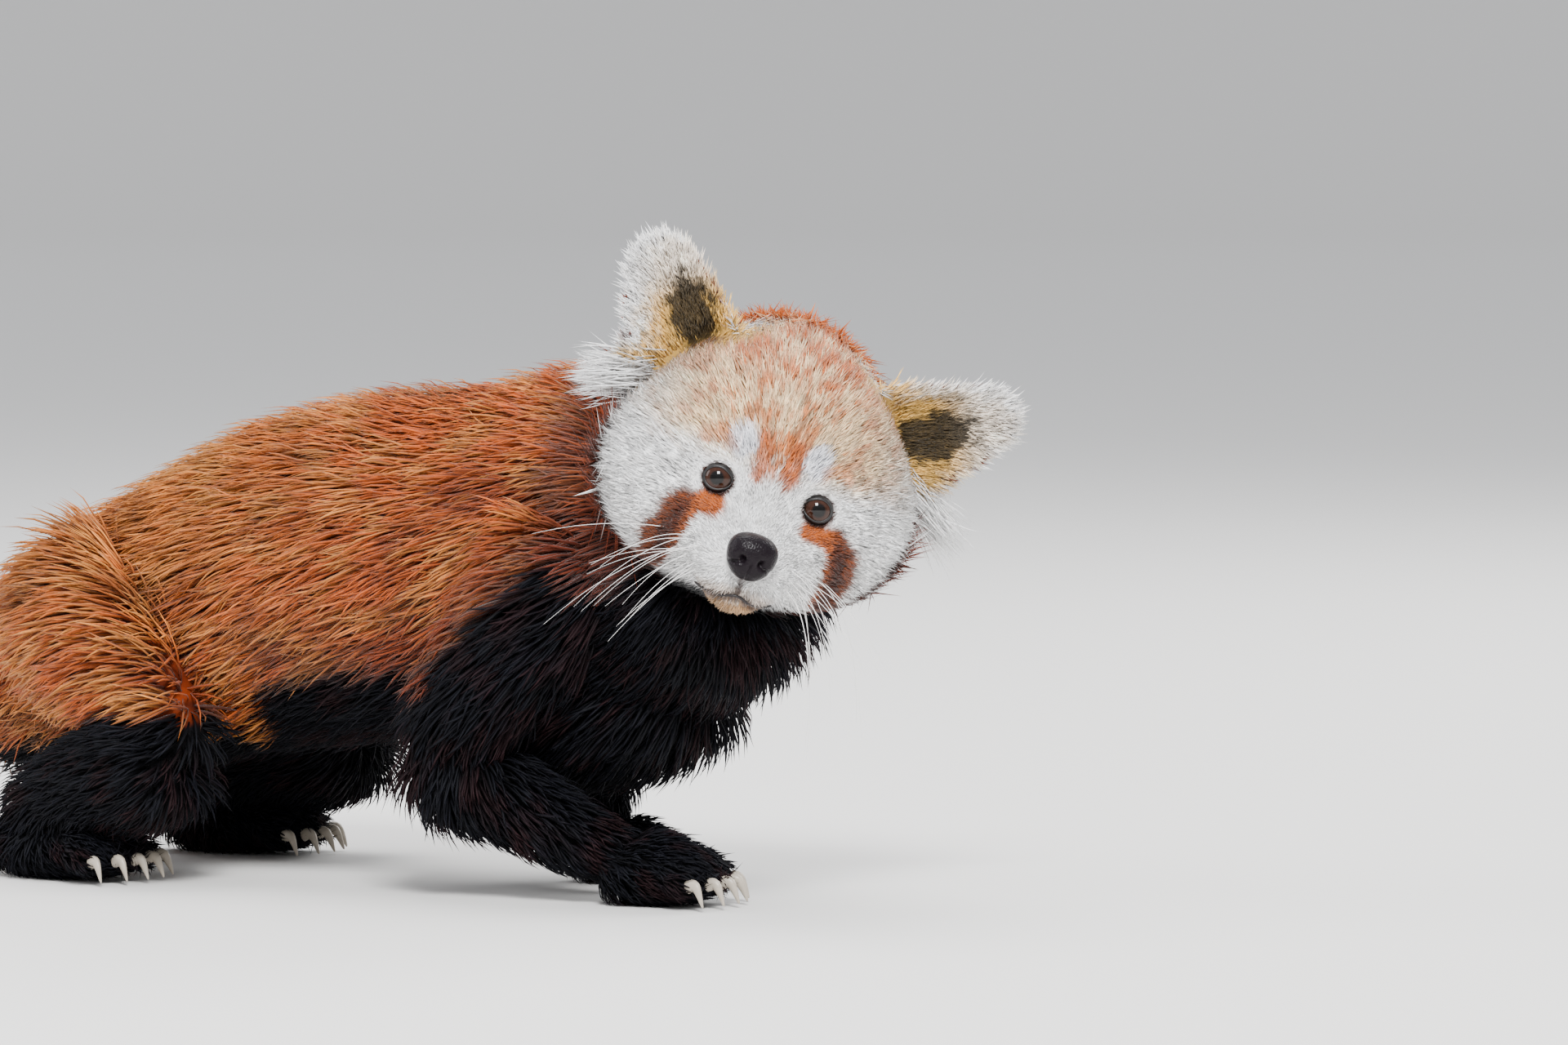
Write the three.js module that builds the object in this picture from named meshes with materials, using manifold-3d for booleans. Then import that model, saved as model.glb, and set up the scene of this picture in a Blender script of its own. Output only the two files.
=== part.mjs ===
// A life-size red panda, standing low on four feet with its head turned to its right and tilted.
// Millimetres, +Z up, the soles at z = 0. The trunk runs along X with the chest towards +X; the animal's left is +Y.
import * as THREE from "three";
import { mergeVertices } from "three/addons/utils/BufferGeometryUtils.js";
import Module from "manifold-3d";

const wasm = await Module();
wasm.setup();

// Driving dimensions.
const GAP = 0.35; // space kept between touching nodes
const EYE_SPACING = 47;
const EYE_RADIUS = 8;
const NOSE_WIDTH = 22;
const EAR_HEIGHT = 60;
const EAR_WIDTH = 64;
const EAR_THICKNESS = 3.2;
const CLAW_LENGTH = 10;
const CLAW_RADIUS = 2.1;
const TAIL_RADIUS = 46;
const TORSO_DEPTH = 11; // how far the long coat's tips stand above its core
const TAIL_DEPTH = 17;

// A seeded generator, so that each build gives the same coat.
let seed = 20261;
const random = () => {
  seed = (seed * 1664525 + 1013904223) % 4294967296;
  return seed / 4294967296;
};
const vary = (value, share) => value * (1 + share * (2 * random() - 1));
const V = (x, y, z) => new THREE.Vector3(x, y, z);
const lerp = THREE.MathUtils.lerp;

// A closed three.js geometry as a manifold-3d solid, with its faces pointing out.
function solid(geometry) {
  const g = geometry.clone();
  g.deleteAttribute("normal");
  g.deleteAttribute("uv");
  const merged = mergeVertices(g, 1e-4);
  const triVerts = new Uint32Array(merged.index.array);
  const vertProperties = new Float32Array(merged.attributes.position.array);
  const make = () => new wasm.Manifold(new wasm.Mesh({ numProp: 3, vertProperties, triVerts }));
  const made = make();
  if (made.volume() > 0) return made;
  for (let i = 0; i < triVerts.length; i += 3) {
    [triVerts[i + 1], triVerts[i + 2]] = [triVerts[i + 2], triVerts[i + 1]];
  }
  return make();
}

// A sphere whose points are moved by place(t, angle): t runs 0 to 1 from pole to pole.
function blob(place, around, along) {
  const g = new THREE.SphereGeometry(1, around, along);
  const position = g.attributes.position;
  const uv = g.attributes.uv;
  const pole = (row) => row === 0 || row === along;
  for (let i = 0; i < position.count; i++) {
    const row = Math.floor(i / (around + 1));
    const column = pole(row) ? 0 : (i % (around + 1)) % around;
    const p = place((1 - Math.cos((Math.PI * row) / along)) / 2, (2 * Math.PI * column) / around);
    position.setXYZ(i, p.x, p.y, p.z);
  }
  uv.needsUpdate = true;
  return solid(g);
}

// Reads a list of stations at t by smooth interpolation. Each station is [x, y, z, half width, half height, ...].
function reader(stations) {
  const curve = new THREE.CatmullRomCurve3(
    stations.map((s) => V(s[0], s[1], s[2])),
    false,
    "centripetal",
  );
  const value = (t, k) => {
    const f = Math.min(t * (stations.length - 1), stations.length - 1.000001);
    const i = Math.floor(f);
    const at = (j) => stations[Math.min(Math.max(j, 0), stations.length - 1)][k] ?? 0;
    const u = f - i;
    const [a, b, c, d] = [at(i - 1), at(i), at(i + 1), at(i + 2)];
    return 0.5 * (2 * b + (c - a) * u + (2 * a - 5 * b + 4 * c - d) * u * u + (3 * b - a - 3 * c + d) * u ** 3);
  };
  return { curve, value };
}

// The point and outward normal of a lofted body: an oval section carried along a curve, with rounded ends.
// Sections stand across the curve, or face one way all along it.
// Section: across = a cos(angle) (1 - k sin(angle)), up = b sin(angle), where k narrows the top.
function loft(stations, { up = V(0, 0, 1), cap = 0.1, grow = 0, facing = null } = {}) {
  const { curve, value } = reader(stations);
  const place = (t, angle) => {
    const p = curve.getPoint(t);
    const along = facing ? facing.clone() : curve.getTangent(t);
    const side = new THREE.Vector3().crossVectors(up, along).normalize();
    const over = new THREE.Vector3().crossVectors(along, side).normalize();
    const end = Math.min(1, Math.min(t, 1 - t) / cap);
    const round = Math.sqrt(Math.max(0, 1 - (1 - end) ** 2));
    const a = (value(t, 3) + grow) * round;
    const b = (value(t, 4) + grow) * round;
    const k = value(t, 5);
    const slide = grow * (2 * t - 1) * (1 - end);
    return p
      .addScaledVector(side, a * Math.cos(angle) * (1 - k * Math.sin(angle)))
      .addScaledVector(over, b * Math.sin(angle))
      .addScaledVector(along, slide);
  };
  const normal = (t, angle) => {
    const e = 0.01;
    const dt = place(Math.min(t + e, 0.999), angle).sub(place(Math.max(t - e, 0.001), angle));
    const da = place(t, angle + e).sub(place(t, angle - e));
    const n = new THREE.Vector3().crossVectors(da, dt).normalize();
    const outward = place(t, angle).sub(curve.getPoint(t));
    return n.dot(outward) < 0 ? n.negate() : n;
  };
  return { place, normal, curve };
}
const lofted = (stations, options = {}, around = 20, along = 16) =>
  blob(loft(stations, options).place, around, along);

// One flat, tapered lock along five points from its sunk root to its tip.
const LOCK_PROFILE = [
  [-0.1, 0.5, 0.9],
  [0.15, 1, 1],
  [0.5, 0.9, 0.8],
  [0.8, 0.5, 0.5],
  [1, 0.1, 0.15],
]; // share of the length, of the width and of the thickness
function lockAlong(pointAt, up, width, thick, grow = 0) {
  const stations = LOCK_PROFILE.map(([s, w, h]) => {
    const p = pointAt(s);
    return [p.x, p.y, p.z, (w * width) / 2, (h * thick) / 2];
  });
  return lofted(stations, { up, cap: 0.14, grow }, 4, 4);
}
// A lock that follows a surface: it starts at (t, angle), runs reach along t and turn round it,
// and climbs from sink under the surface to rise above it.
function lockOn({ shape, t, angle, reach, turn, width, thick, sink, rise }, grow = 0) {
  const at = (s) => [THREE.MathUtils.clamp(t + reach * s, 0.05, 0.95), angle + turn * s];
  const pointAt = (s) => {
    const [u, v] = at(s);
    const height = s < 0 ? -1.4 * sink : lerp(-sink, rise, 1 - (1 - s) ** 1.7);
    return shape.place(u, v).addScaledVector(shape.normal(u, v), height);
  };
  const [u, v] = at(0.5);
  return lockAlong(pointAt, shape.normal(u, v), width, thick, grow);
}
const locksOn = (list, grow = 0) => list.map((one) => lockOn(one, grow));
const degrees = THREE.MathUtils.degToRad;

const unite = (solids) => wasm.Manifold.union(solids);
function largest(body) {
  return body.decompose().reduce((best, next) => (next.volume() > best.volume() ? next : best));
}

// The trunk from the tail's root to the neck: [x, y, z, half width, half height, top narrowing].
const TRUNK = [
  [-430, 0, 80, 34, 30, 0],
  [-396, 0, 88, 60, 54, 0.04],
  [-350, 0, 104, 74, 67, 0.08],
  [-296, 0, 122, 80, 77, 0.12],
  [-240, 0, 139, 80, 85, 0.14],
  [-186, 0, 148, 79, 88, 0.14],
  [-134, 0, 153, 75, 87, 0.12],
  [-90, -2, 156, 72, 92, 0.08],
  [-50, -8, 160, 69, 91, 0],
  [-14, -16, 166, 65, 82, -0.04],
  [16, -30, 180, 54, 62, 0],
];
// The deep chest between the forelegs.
const BREAST = [
  [-140, 0, 112, 44, 40],
  [-108, 0, 100, 54, 50],
  [-74, -2, 96, 54, 50],
  [-42, -6, 102, 46, 44],
  [-16, -12, 118, 34, 36],
];
const trunk = (grow = 0) =>
  unite([lofted(TRUNK, { cap: 0.08, grow }, 18, 16), lofted(BREAST, { cap: 0.22, grow }, 12, 8)]);

// The long coat of the trunk in rows of locks that flow to the tail and down the flanks.
// Angles are in degrees round the section: 0 is the left side and 90 the top.
const COAT_ROWS = [
  { t: 0.79, angles: [38, 88, 138] },
  { t: 0.66, angles: [14, 62, 110, 158, 232, 308] },
  { t: 0.53, angles: [-16, 38, 90, 142, 196, 270] },
  { t: 0.4, angles: [10, 62, 112, 164, 230, 310] },
  { t: 0.28, angles: [40, 90, 140] },
  { t: 0.17, angles: [62, 118] },
];
const coatLocks = (rows, depth, reach) =>
  rows.flatMap(({ t, angles }) =>
    angles.map((angle) => ({
      shape: loft(TRUNK, { cap: 0.08, grow: -depth }),
      t: vary(t, 0.02),
      angle: degrees(angle + 8 * (random() - 0.5)),
      reach: -vary(reach, 0.1),
      turn: -0.2 * Math.cos(degrees(angle)),
      width: vary(56, 0.1),
      thick: 9,
      sink: 6,
      rise: TORSO_DEPTH - vary(1.5, 0.6),
    })),
  );
const torsoLocks = coatLocks(COAT_ROWS, TORSO_DEPTH, 0.17);
// The chest's fur hangs back from the throat over the neck's own, closer coat.
const NECK_DEPTH = 4;
const neckLocks = coatLocks([{ t: 0.93, angles: [-52, -90, -128] }], NECK_DEPTH, 0.12);

// The head's own frame: +x to the nose, +y to its left, +z up, its origin level with the eyes.
const HEAD_PLACE = V(21, -32, 196);
const headFrame = new THREE.Matrix4();
{
  const viewer = V(0.4993, -0.8648, 0.0523).normalize(); // from the head to the onlooker
  const right = V(Math.cos(Math.PI / 6), Math.sin(Math.PI / 6), 0);
  const YAW = THREE.MathUtils.degToRad(5);
  const PITCH = THREE.MathUtils.degToRad(10);
  const ROLL = THREE.MathUtils.degToRad(19);
  const upward = new THREE.Vector3().crossVectors(viewer, right).normalize();
  const nose = viewer
    .clone()
    .multiplyScalar(Math.cos(YAW) * Math.cos(PITCH))
    .addScaledVector(right, Math.sin(YAW) * Math.cos(PITCH))
    .addScaledVector(upward, -Math.sin(PITCH))
    .normalize();
  const level = right.clone().multiplyScalar(Math.cos(ROLL)).addScaledVector(upward, -Math.sin(ROLL));
  const left = level.addScaledVector(nose, -level.dot(nose)).normalize();
  const top = new THREE.Vector3().crossVectors(nose, left).normalize();
  headFrame.makeBasis(nose, left, top).setPosition(HEAD_PLACE);
}
const inHead = (x, y, z) => V(x, y, z).applyMatrix4(headFrame);
const turnHead = (x, y, z) => V(x, y, z).transformDirection(headFrame);

// The skull, from the back of the head to the muzzle: [x, y, z, half width, half height, top narrowing].
const SKULL = [
  [-54, 0, 4, 26, 30, 0],
  [-36, 0, 6, 46, 50, 0],
  [-12, 0, 8, 62, 62, 0.1],
  [12, 0, 6, 68, 64, 0.16],
  [32, 0, 0, 66, 57, 0.16],
  [47, 0, -8, 53, 42, 0.1],
  [56, 0, -20, 39, 26, 0.06],
  [65, 0, -25, 30, 20.5, 0.1],
  [75, 0, -27, 25.5, 18, 0.14],
  [84, 0, -28, 21, 15, 0.14],
  [91, 0, -28, 14, 11, 0],
];
const skullShape = (grow = 0) => {
  const stations = SKULL.map(([x, y, z, a, b, k]) => [x, y, z, a, b, k]);
  const shape = loft(stations, { cap: 0.09, grow, facing: V(1, 0, 0) });
  return {
    place: (t, angle) => shape.place(t, angle).applyMatrix4(headFrame),
    normal: (t, angle) => shape.normal(t, angle).transformDirection(headFrame),
  };
};
const skull = (grow = 0) => blob(skullShape(grow).place, 22, 18);

// The cheek ruff: two rows of locks on each side that sweep back and down from the face.
const RUFF_ROWS = [
  { t: 0.37, reach: -0.19, from: 20, to: -70, count: 6, width: 29, high: 15, low: 8 },
  { t: 0.48, reach: -0.17, from: 10, to: -56, count: 4, width: 27, high: 9, low: 5 },
];
const ruffLocks = [1, -1].flatMap((side) =>
  RUFF_ROWS.flatMap(({ t, reach, from, to, count, width, high, low }) =>
    Array.from({ length: count }, (_, i) => {
      const angle = degrees(lerp(from, to, i / (count - 1)) + 5 * (random() - 0.5));
      const down = Math.max(0, -Math.sin(angle));
      return {
        shape: skullShape(),
        t: vary(t, 0.03),
        angle: side > 0 ? angle : Math.PI - angle,
        reach: vary(reach, 0.1),
        turn: -side * 0.14,
        width: vary(width, 0.15),
        thick: 7,
        sink: 6,
        rise: vary(lerp(high, low, down ** 2), 0.12),
      };
    }),
  ),
);
// White tufts that stand out behind the outer corner of each ear: root, tip and width.
const EAR_TUFTS = [
  { side: 1, root: [-10, 50, 20], tip: [-16, 97, 4], width: 17 },
  { side: 1, root: [-8, 50, 26], tip: [-14, 92, 17], width: 15 },
  { side: -1, root: [-10, 50, 30], tip: [-16, 95, 27], width: 17 },
  { side: -1, root: [-8, 50, 22], tip: [-14, 90, 12], width: 15 },
];
const earTufts = (grow = 0) =>
  EAR_TUFTS.map(({ side, root, tip, width }) => {
    const [a, b] = [V(...root), V(...tip)];
    const pointAt = (s) => {
      const p = a.clone().lerp(b, s);
      return inHead(p.x, side * p.y, p.z + 5 * Math.sin(Math.PI * Math.max(0, s)));
    };
    return lockAlong(pointAt, turnHead(1, 0, 0.3), width, 6, grow);
  });

const ball = (centre, radius, grow = 0, detail = 16) =>
  blob(
    (t, angle) => {
      const high = 2 * t - 1;
      const wide = Math.sqrt(Math.max(0, 1 - high * high));
      return centre.clone().addScaledVector(V(wide * Math.cos(angle), wide * Math.sin(angle), high), radius + grow);
    },
    detail,
    Math.round(detail * 0.7),
  );

const EYE = [52, EYE_SPACING / 2, 0];
const eye = (side, grow = 0) => ball(inHead(EYE[0], side * EYE[1], EYE[2]), EYE_RADIUS, grow, 11);
// The lids: a ring round each eye, a little wider than high.
function lids(side) {
  const ring = new THREE.TorusGeometry(EYE_RADIUS * 0.86, 2, 4, 12);
  ring.scale(1.1, 0.92, 1);
  ring.rotateY(Math.PI / 2);
  ring.rotateZ(side * 0.42);
  ring.translate(EYE[0] + 4.2, side * (EYE[1] + 1.6), EYE[2]);
  ring.applyMatrix4(headFrame);
  return solid(ring);
}

// The nose leather: broad above, narrow below.
const NOSE = [
  [80, 0, -20, NOSE_WIDTH * 0.45, 8.5, -0.1],
  [88, 0, -19.5, NOSE_WIDTH * 0.5, 10, -0.2],
  [95, 0, -20, NOSE_WIDTH * 0.42, 8.5, -0.25],
  [99, 0, -21, NOSE_WIDTH * 0.2, 5, -0.1],
];
function nose(grow = 0) {
  const shape = loft(NOSE, { cap: 0.22, grow, facing: V(1, 0, 0) });
  return blob((t, angle) => shape.place(t, angle).applyMatrix4(headFrame), 12, 9);
}
const nostril = (side) =>
  lofted(
    [
      [inHead(92, side * 3.4, -21.5), 1.4, 1.8],
      [inHead(96.5, side * 4.8, -21), 1.5, 2],
      [inHead(98, side * 8.5, -22.5), 0.9, 1.3],
    ].map(([p, a, b]) => [p.x, p.y, p.z, a, b]),
    { up: turnHead(0, 0, 1), cap: 0.2 },
    6,
    6,
  );
// The line of the mouth, a groove from corner to corner under the nose.
function mouth() {
  const line = [
    [58, -29, -37],
    [72, -23.5, -40],
    [84, -12, -40],
    [90, 0, -36.5],
    [84, 12, -40],
    [72, 23.5, -40],
    [58, 29, -37],
  ].map(([x, y, z]) => {
    const p = inHead(x, y, z);
    return [p.x, p.y, p.z, 1.1, 1.1];
  });
  return lofted(line, { up: turnHead(0, 0, 1), cap: 0.04 }, 5, 13);
}

// An ear: a curved leaf with a rounded tip, hollow in front. lean turns it outwards, in radians.
const EARS = {
  right: { side: -1, base: [-4, -47, 38], lean: 0.7, turn: -0.3, point: 0.14 },
  left: { side: 1, base: [-4, 52, 30], lean: 1.06, turn: 0.3, point: 0.1 },
};
function earShape({ side, base, lean, turn, point }, grow = 0) {
  const rise = V(0, side * Math.sin(lean), Math.cos(lean));
  const face = V(Math.cos(turn), Math.sin(turn), 0);
  face.addScaledVector(rise, -face.dot(rise)).normalize();
  const across = new THREE.Vector3().crossVectors(rise, face);
  const foot = V(...base);
  const root = 0.28; // the share of the leaf that is sunk in the head
  return (t, angle) => {
    const s = Math.cos(angle);
    const high = lerp(-root, 1 + grow / EAR_HEIGHT, t);
    const narrow = Math.max(0, (t - 0.25) / 0.75);
    const round = Math.sqrt(1 - Math.max(0, (t - 0.86) / 0.14) ** 2) * Math.min(1, t / 0.03);
    const half = (EAR_WIDTH / 2 + grow) * (1 - 0.6 * narrow ** 1.25) * round;
    const hollow = 15 * (1 - s * s) * (1 - narrow ** 2);
    const thick = (EAR_THICKNESS + grow) * Math.sin(angle) * Math.min(1, round * 1.5);
    return foot
      .clone()
      .addScaledVector(rise, high * EAR_HEIGHT)
      .addScaledVector(across, s * half - side * point * high * EAR_HEIGHT)
      .addScaledVector(face, thick - hollow + 6)
      .applyMatrix4(headFrame);
  };
}
const ear = (which, grow = 0) => blob(earShape(EARS[which], grow), 12, 10);

// Limbs in their upper and lower lengths: [x, y, z, half across, half along the limb's depth].
const LIMBS = {
  right_upper_arm: [
    [-56, -46, 176, 30, 38],
    [-70, -56, 146, 35, 44],
    [-98, -62, 108, 33, 38],
    [-124, -62, 72, 28, 30],
    [-130, -61, 56, 20, 20],
  ],
  right_forearm: [
    [-142, -61, 74, 20, 20],
    [-122, -60, 60, 26, 27],
    [-90, -55, 43, 24, 24],
    [-60, -49, 28, 21, 20],
    [-38, -44, 20, 17, 17],
  ],
  left_upper_arm: [
    [-50, 46, 178, 30, 38],
    [-58, 56, 146, 35, 42],
    [-80, 60, 112, 32, 37],
    [-106, 59, 80, 27, 29],
    [-114, 57, 62, 19, 20],
  ],
  left_forearm: [
    [-126, 58, 84, 19, 20],
    [-120, 55, 70, 25, 26],
    [-115, 47, 48, 23, 24],
    [-110, 41, 32, 20, 20],
    [-104, 37, 20, 17, 17],
  ],
  right_thigh: [
    [-364, -34, 146, 34, 44],
    [-336, -54, 124, 42, 54],
    [-296, -70, 96, 40, 48],
    [-266, -78, 68, 33, 36],
    [-256, -80, 52, 22, 24],
  ],
  right_shank: [
    [-254, -81, 66, 24, 24],
    [-276, -80, 56, 30, 32],
    [-308, -77, 45, 29, 30],
    [-338, -73, 34, 25, 26],
    [-360, -70, 24, 20, 20],
  ],
};
const mirrored = (stations) => stations.map(([x, y, z, ...rest]) => [x, -y, z, ...rest]);
LIMBS.left_thigh = mirrored(LIMBS.right_thigh);
LIMBS.left_shank = mirrored(LIMBS.right_shank);
// The section's axes lie in the limb's own bending plane and across it.
const limb = (name, grow = 0) =>
  lofted(
    LIMBS[name].map(([x, y, z, across, deep]) => [x, y, z, deep, across]),
    { up: V(0, 1, 0), cap: 0.16, grow },
    12,
    9,
  );

// Feet: the heel, the toes' direction in radians from +X, the sole's length and half width, and the height.
const FEET = {
  right_forepaw: { heel: [-52, -44], turn: 0.1, length: 60, half: 25, high: 33 },
  left_forepaw: { heel: [-114, 37], turn: -0.12, length: 58, half: 24, high: 32 },
  right_hindfoot: { heel: [-368, -70], turn: -0.1, length: 88, half: 24, high: 32 },
  left_hindfoot: { heel: [-368, 70], turn: 0.1, length: 88, half: 24, high: 32 },
};
const TOES = 5;
function toes({ heel, turn, length, half, high }) {
  const ahead = V(Math.cos(turn), Math.sin(turn), 0);
  const across = V(-Math.sin(turn), Math.cos(turn), 0);
  const spread = (i) => (i - (TOES - 1) / 2) / ((TOES - 1) / 2);
  return Array.from({ length: TOES }, (_, i) => {
    const s = spread(i);
    const fan = ahead.clone().addScaledVector(across, 0.34 * s).normalize();
    const knuckle = V(heel[0], heel[1], 0)
      .addScaledVector(ahead, length * 0.62 - 5 * s * s)
      .addScaledVector(across, s * half * 0.62)
      .setZ(high * 0.52);
    const tip = knuckle.clone().addScaledVector(fan, length * 0.26 + (high > 32.5 ? 3 : 0)).setZ(high * 0.28);
    return { knuckle, tip, fan };
  });
}
function foot(name, grow = 0) {
  const f = FEET[name];
  const ahead = V(Math.cos(f.turn), Math.sin(f.turn), 0);
  const at = (s, z) => V(f.heel[0], f.heel[1], z).addScaledVector(ahead, s * f.length);
  const sole = [
    [at(-0.08, 11), f.half * 0.6, 12],
    [at(0.15, 13), f.half * 0.8, 17],
    [at(0.45, 14), f.half * 0.98, f.high - 15],
    [at(0.7, 12), f.half, f.high - 18],
    [at(0.86, 10), f.half * 0.8, 9],
  ].map(([p, a, b]) => [p.x, p.y, p.z, a, b]);
  const digits = toes(f).map(({ knuckle, tip }) =>
    lofted(
      [
        [knuckle.x, knuckle.y, knuckle.z, 6, 8],
        [lerp(knuckle.x, tip.x, 0.5), lerp(knuckle.y, tip.y, 0.5), knuckle.z * 0.86, 6.4, 8.2],
        [tip.x, tip.y, tip.z, 5.4, 7],
      ],
      { cap: 0.35, grow },
      5,
      5,
    ),
  );
  return unite([lofted(sole, { cap: 0.2, grow }, 12, 7), ...digits]);
}
// A claw curves forward and down from the end of its toe, clear of the floor.
function claw({ tip, fan }, grow = 0) {
  const start = tip.clone().addScaledVector(fan, 1).setZ(tip.z + 1.5);
  const mid = start.clone().addScaledVector(fan, CLAW_LENGTH * 0.55).setZ(start.z + 0.6);
  const end = start.clone().addScaledVector(fan, CLAW_LENGTH).setZ(2);
  return lofted(
    [
      [start.x, start.y, start.z, CLAW_RADIUS, CLAW_RADIUS * 1.5],
      [mid.x, mid.y, mid.z, CLAW_RADIUS * 0.85, CLAW_RADIUS * 1.2],
      [end.x, end.y, end.z, 0.5, 0.6],
    ],
    { cap: 0.12, grow },
    5,
    4,
  );
}

// The tail leaves the rump, comes down to the floor and lies on it in a slow curve.
const TAIL = [
  [-384, 0, 94, 36, 34],
  [-418, 0, 86, 38, 35],
  [-452, 2, 70, 42, 40],
  [-500, 10, 54, TAIL_RADIUS, TAIL_RADIUS - 2],
  [-556, 28, 46, TAIL_RADIUS + 2, TAIL_RADIUS],
  [-610, 56, 45, TAIL_RADIUS + 2, TAIL_RADIUS],
  [-660, 92, 45, TAIL_RADIUS, TAIL_RADIUS - 1],
  [-702, 134, 43, TAIL_RADIUS - 4, TAIL_RADIUS - 4],
  [-734, 178, 38, TAIL_RADIUS - 13, TAIL_RADIUS - 12],
  [-752, 214, 30, 18, 20],
];
const tail = (grow = 0) => lofted(TAIL, { cap: 0.07, grow }, 12, 17);
// The brush of the tail: rings of locks that stand out towards its tip.
const TAIL_RINGS = [0.2, 0.34, 0.46, 0.58, 0.7, 0.81];
const BRUSH = 6; // locks in a ring
const tailLocks = TAIL_RINGS.map((t, ring) =>
  Array.from({ length: BRUSH }, (_, i) => ({
    shape: loft(TAIL, { cap: 0.07, grow: -TAIL_DEPTH }),
    t: vary(t, 0.01),
    angle: ((i + (ring % 2) / 2 + 0.2 * (random() - 0.5)) * 2 * Math.PI) / BRUSH,
    reach: vary(0.17, 0.08),
    turn: 0.12 * (random() - 0.5),
    width: vary(44, 0.1),
    thick: 9,
    sink: 6,
    rise: TAIL_DEPTH - vary(2, 0.6),
  })),
);

// A box whose +z face lies on a plane through point, facing along normal, to part one node from the next.
function behind(point, normal, shift = 0) {
  const size = 1600;
  const g = new THREE.BoxGeometry(size, size, size).translate(0, 0, -size / 2 + shift);
  g.applyQuaternion(new THREE.Quaternion().setFromUnitVectors(V(0, 0, 1), normal.clone().normalize()));
  return solid(g.translate(point.x, point.y, point.z));
}
const aboveFloor = behind(V(0, 0, 0), V(0, 0, -1));

const solids = {};
const cutFrom = (body, others) => others.reduce((left, other) => left.subtract(other), body);

// Head, ears, eyes and nose.
const headCore = unite([skull(), ...locksOn(ruffLocks), ...earTufts(), lids(1), lids(-1)]);
const headGap = unite([skull(GAP), ...locksOn(ruffLocks, GAP), ...earTufts(GAP)]);
const earGaps = [ear("right", GAP), ear("left", GAP)];
solids.eye_right = eye(-1);
solids.eye_left = eye(1);
solids.nose = cutFrom(nose(), [nostril(1), nostril(-1)]);
solids.ear_right = cutFrom(ear("right"), [headGap]);
solids.ear_left = cutFrom(ear("left"), [headGap]);
solids.head = cutFrom(headCore, [eye(1, GAP), eye(-1, GAP), nose(GAP), mouth()]);

// Trunk, parted into neck and torso by a thin slanting cut.
const COLLAR = { point: V(-46, -8, 168), normal: V(0.9, -0.35, -0.1) };
const limbGaps = Object.keys(LIMBS).map((name) => limb(name, GAP));
const bodyGaps = [...limbGaps, headGap, ...earGaps];
const neckCoat = unite([trunk(-NECK_DEPTH), ...locksOn(neckLocks)]);
solids.neck = cutFrom(neckCoat, [behind(COLLAR.point, COLLAR.normal, GAP / 2), ...bodyGaps]);
const coat = unite([trunk(-TORSO_DEPTH), ...locksOn(torsoLocks)]).intersect(behind(COLLAR.point, COLLAR.normal, -GAP / 2));
solids.torso = cutFrom(coat, bodyGaps);

// Each limb's upper length, lower length, foot and claws.
for (const [upper, lower, paw] of [
  ["right_upper_arm", "right_forearm", "right_forepaw"],
  ["left_upper_arm", "left_forearm", "left_forepaw"],
  ["right_thigh", "right_shank", "right_hindfoot"],
  ["left_thigh", "left_shank", "left_hindfoot"],
]) {
  const claws = toes(FEET[paw]);
  const footGap = foot(paw, GAP);
  solids[upper] = cutFrom(limb(upper), [footGap, headGap]);
  solids[lower] = cutFrom(limb(lower), [footGap, limb(upper, GAP)]);
  solids[paw] = cutFrom(foot(paw), claws.map((c) => claw(c, GAP)));
  claws.forEach((c, i) => {
    solids[`${paw}_claw_${i + 1}`] = claw(c);
  });
}

// The tail in four lengths, each with its own rings of locks, which lie over the next length.
const TAIL_CUTS = [0.3, 0.54, 0.77];
const tailCore = tail(-TAIL_DEPTH);
const tailCurve = reader(TAIL).curve;
const tailParts = ["tail_root", "tail_middle", "tail_ring_end", "tail_tip"];
const rumpLocks = locksOn(torsoLocks.filter(({ t }) => t < 0.35), GAP);
const rootGaps = [trunk(GAP - TORSO_DEPTH), ...limbGaps, ...rumpLocks];
tailParts.forEach((name, i) => {
  const [from, to] = [TAIL_CUTS[i - 1] ?? 0, TAIL_CUTS[i] ?? 1];
  const within = (low, high) => tailLocks.filter((_, k) => TAIL_RINGS[k] > low && TAIL_RINGS[k] <= high).flat();
  let piece = tailCore;
  if (i > 0) piece = piece.intersect(behind(tailCurve.getPoint(from), tailCurve.getTangent(from).negate(), -GAP / 2));
  if (to < 1) piece = piece.intersect(behind(tailCurve.getPoint(to), tailCurve.getTangent(to), -GAP / 2));
  piece = unite([piece, ...locksOn(within(from, to))]);
  solids[name] = cutFrom(piece, [...rootGaps, ...locksOn(within(TAIL_CUTS[i - 2] ?? 0, i > 0 ? from : 0), GAP)]);
});

// Colours of the coat and the bare parts.
const FINISH = {
  face_coat: { color: 0xd9b594, roughness: 0.9 },
  ear_coat: { color: 0xe8dcc8, roughness: 0.9 },
  red_coat: { color: 0x9a4a1c, roughness: 0.9 },
  dark_coat: { color: 0x120f12, roughness: 0.85 },
  tail_coat: { color: 0x9c5628, roughness: 0.9 },
  eye_surface: { color: 0x160a05, roughness: 0.08 },
  nose_leather: { color: 0x1b1519, roughness: 0.4 },
  claw_horn: { color: 0xc9b9a6, roughness: 0.35 },
};
function finishOf(name) {
  if (name.includes("claw")) return "claw_horn";
  if (name.startsWith("eye")) return "eye_surface";
  if (name.startsWith("ear")) return "ear_coat";
  if (name.startsWith("tail")) return "tail_coat";
  if (name === "nose") return "nose_leather";
  if (name === "head") return "face_coat";
  return name === "torso" || name === "neck" ? "red_coat" : "dark_coat";
}
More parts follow.
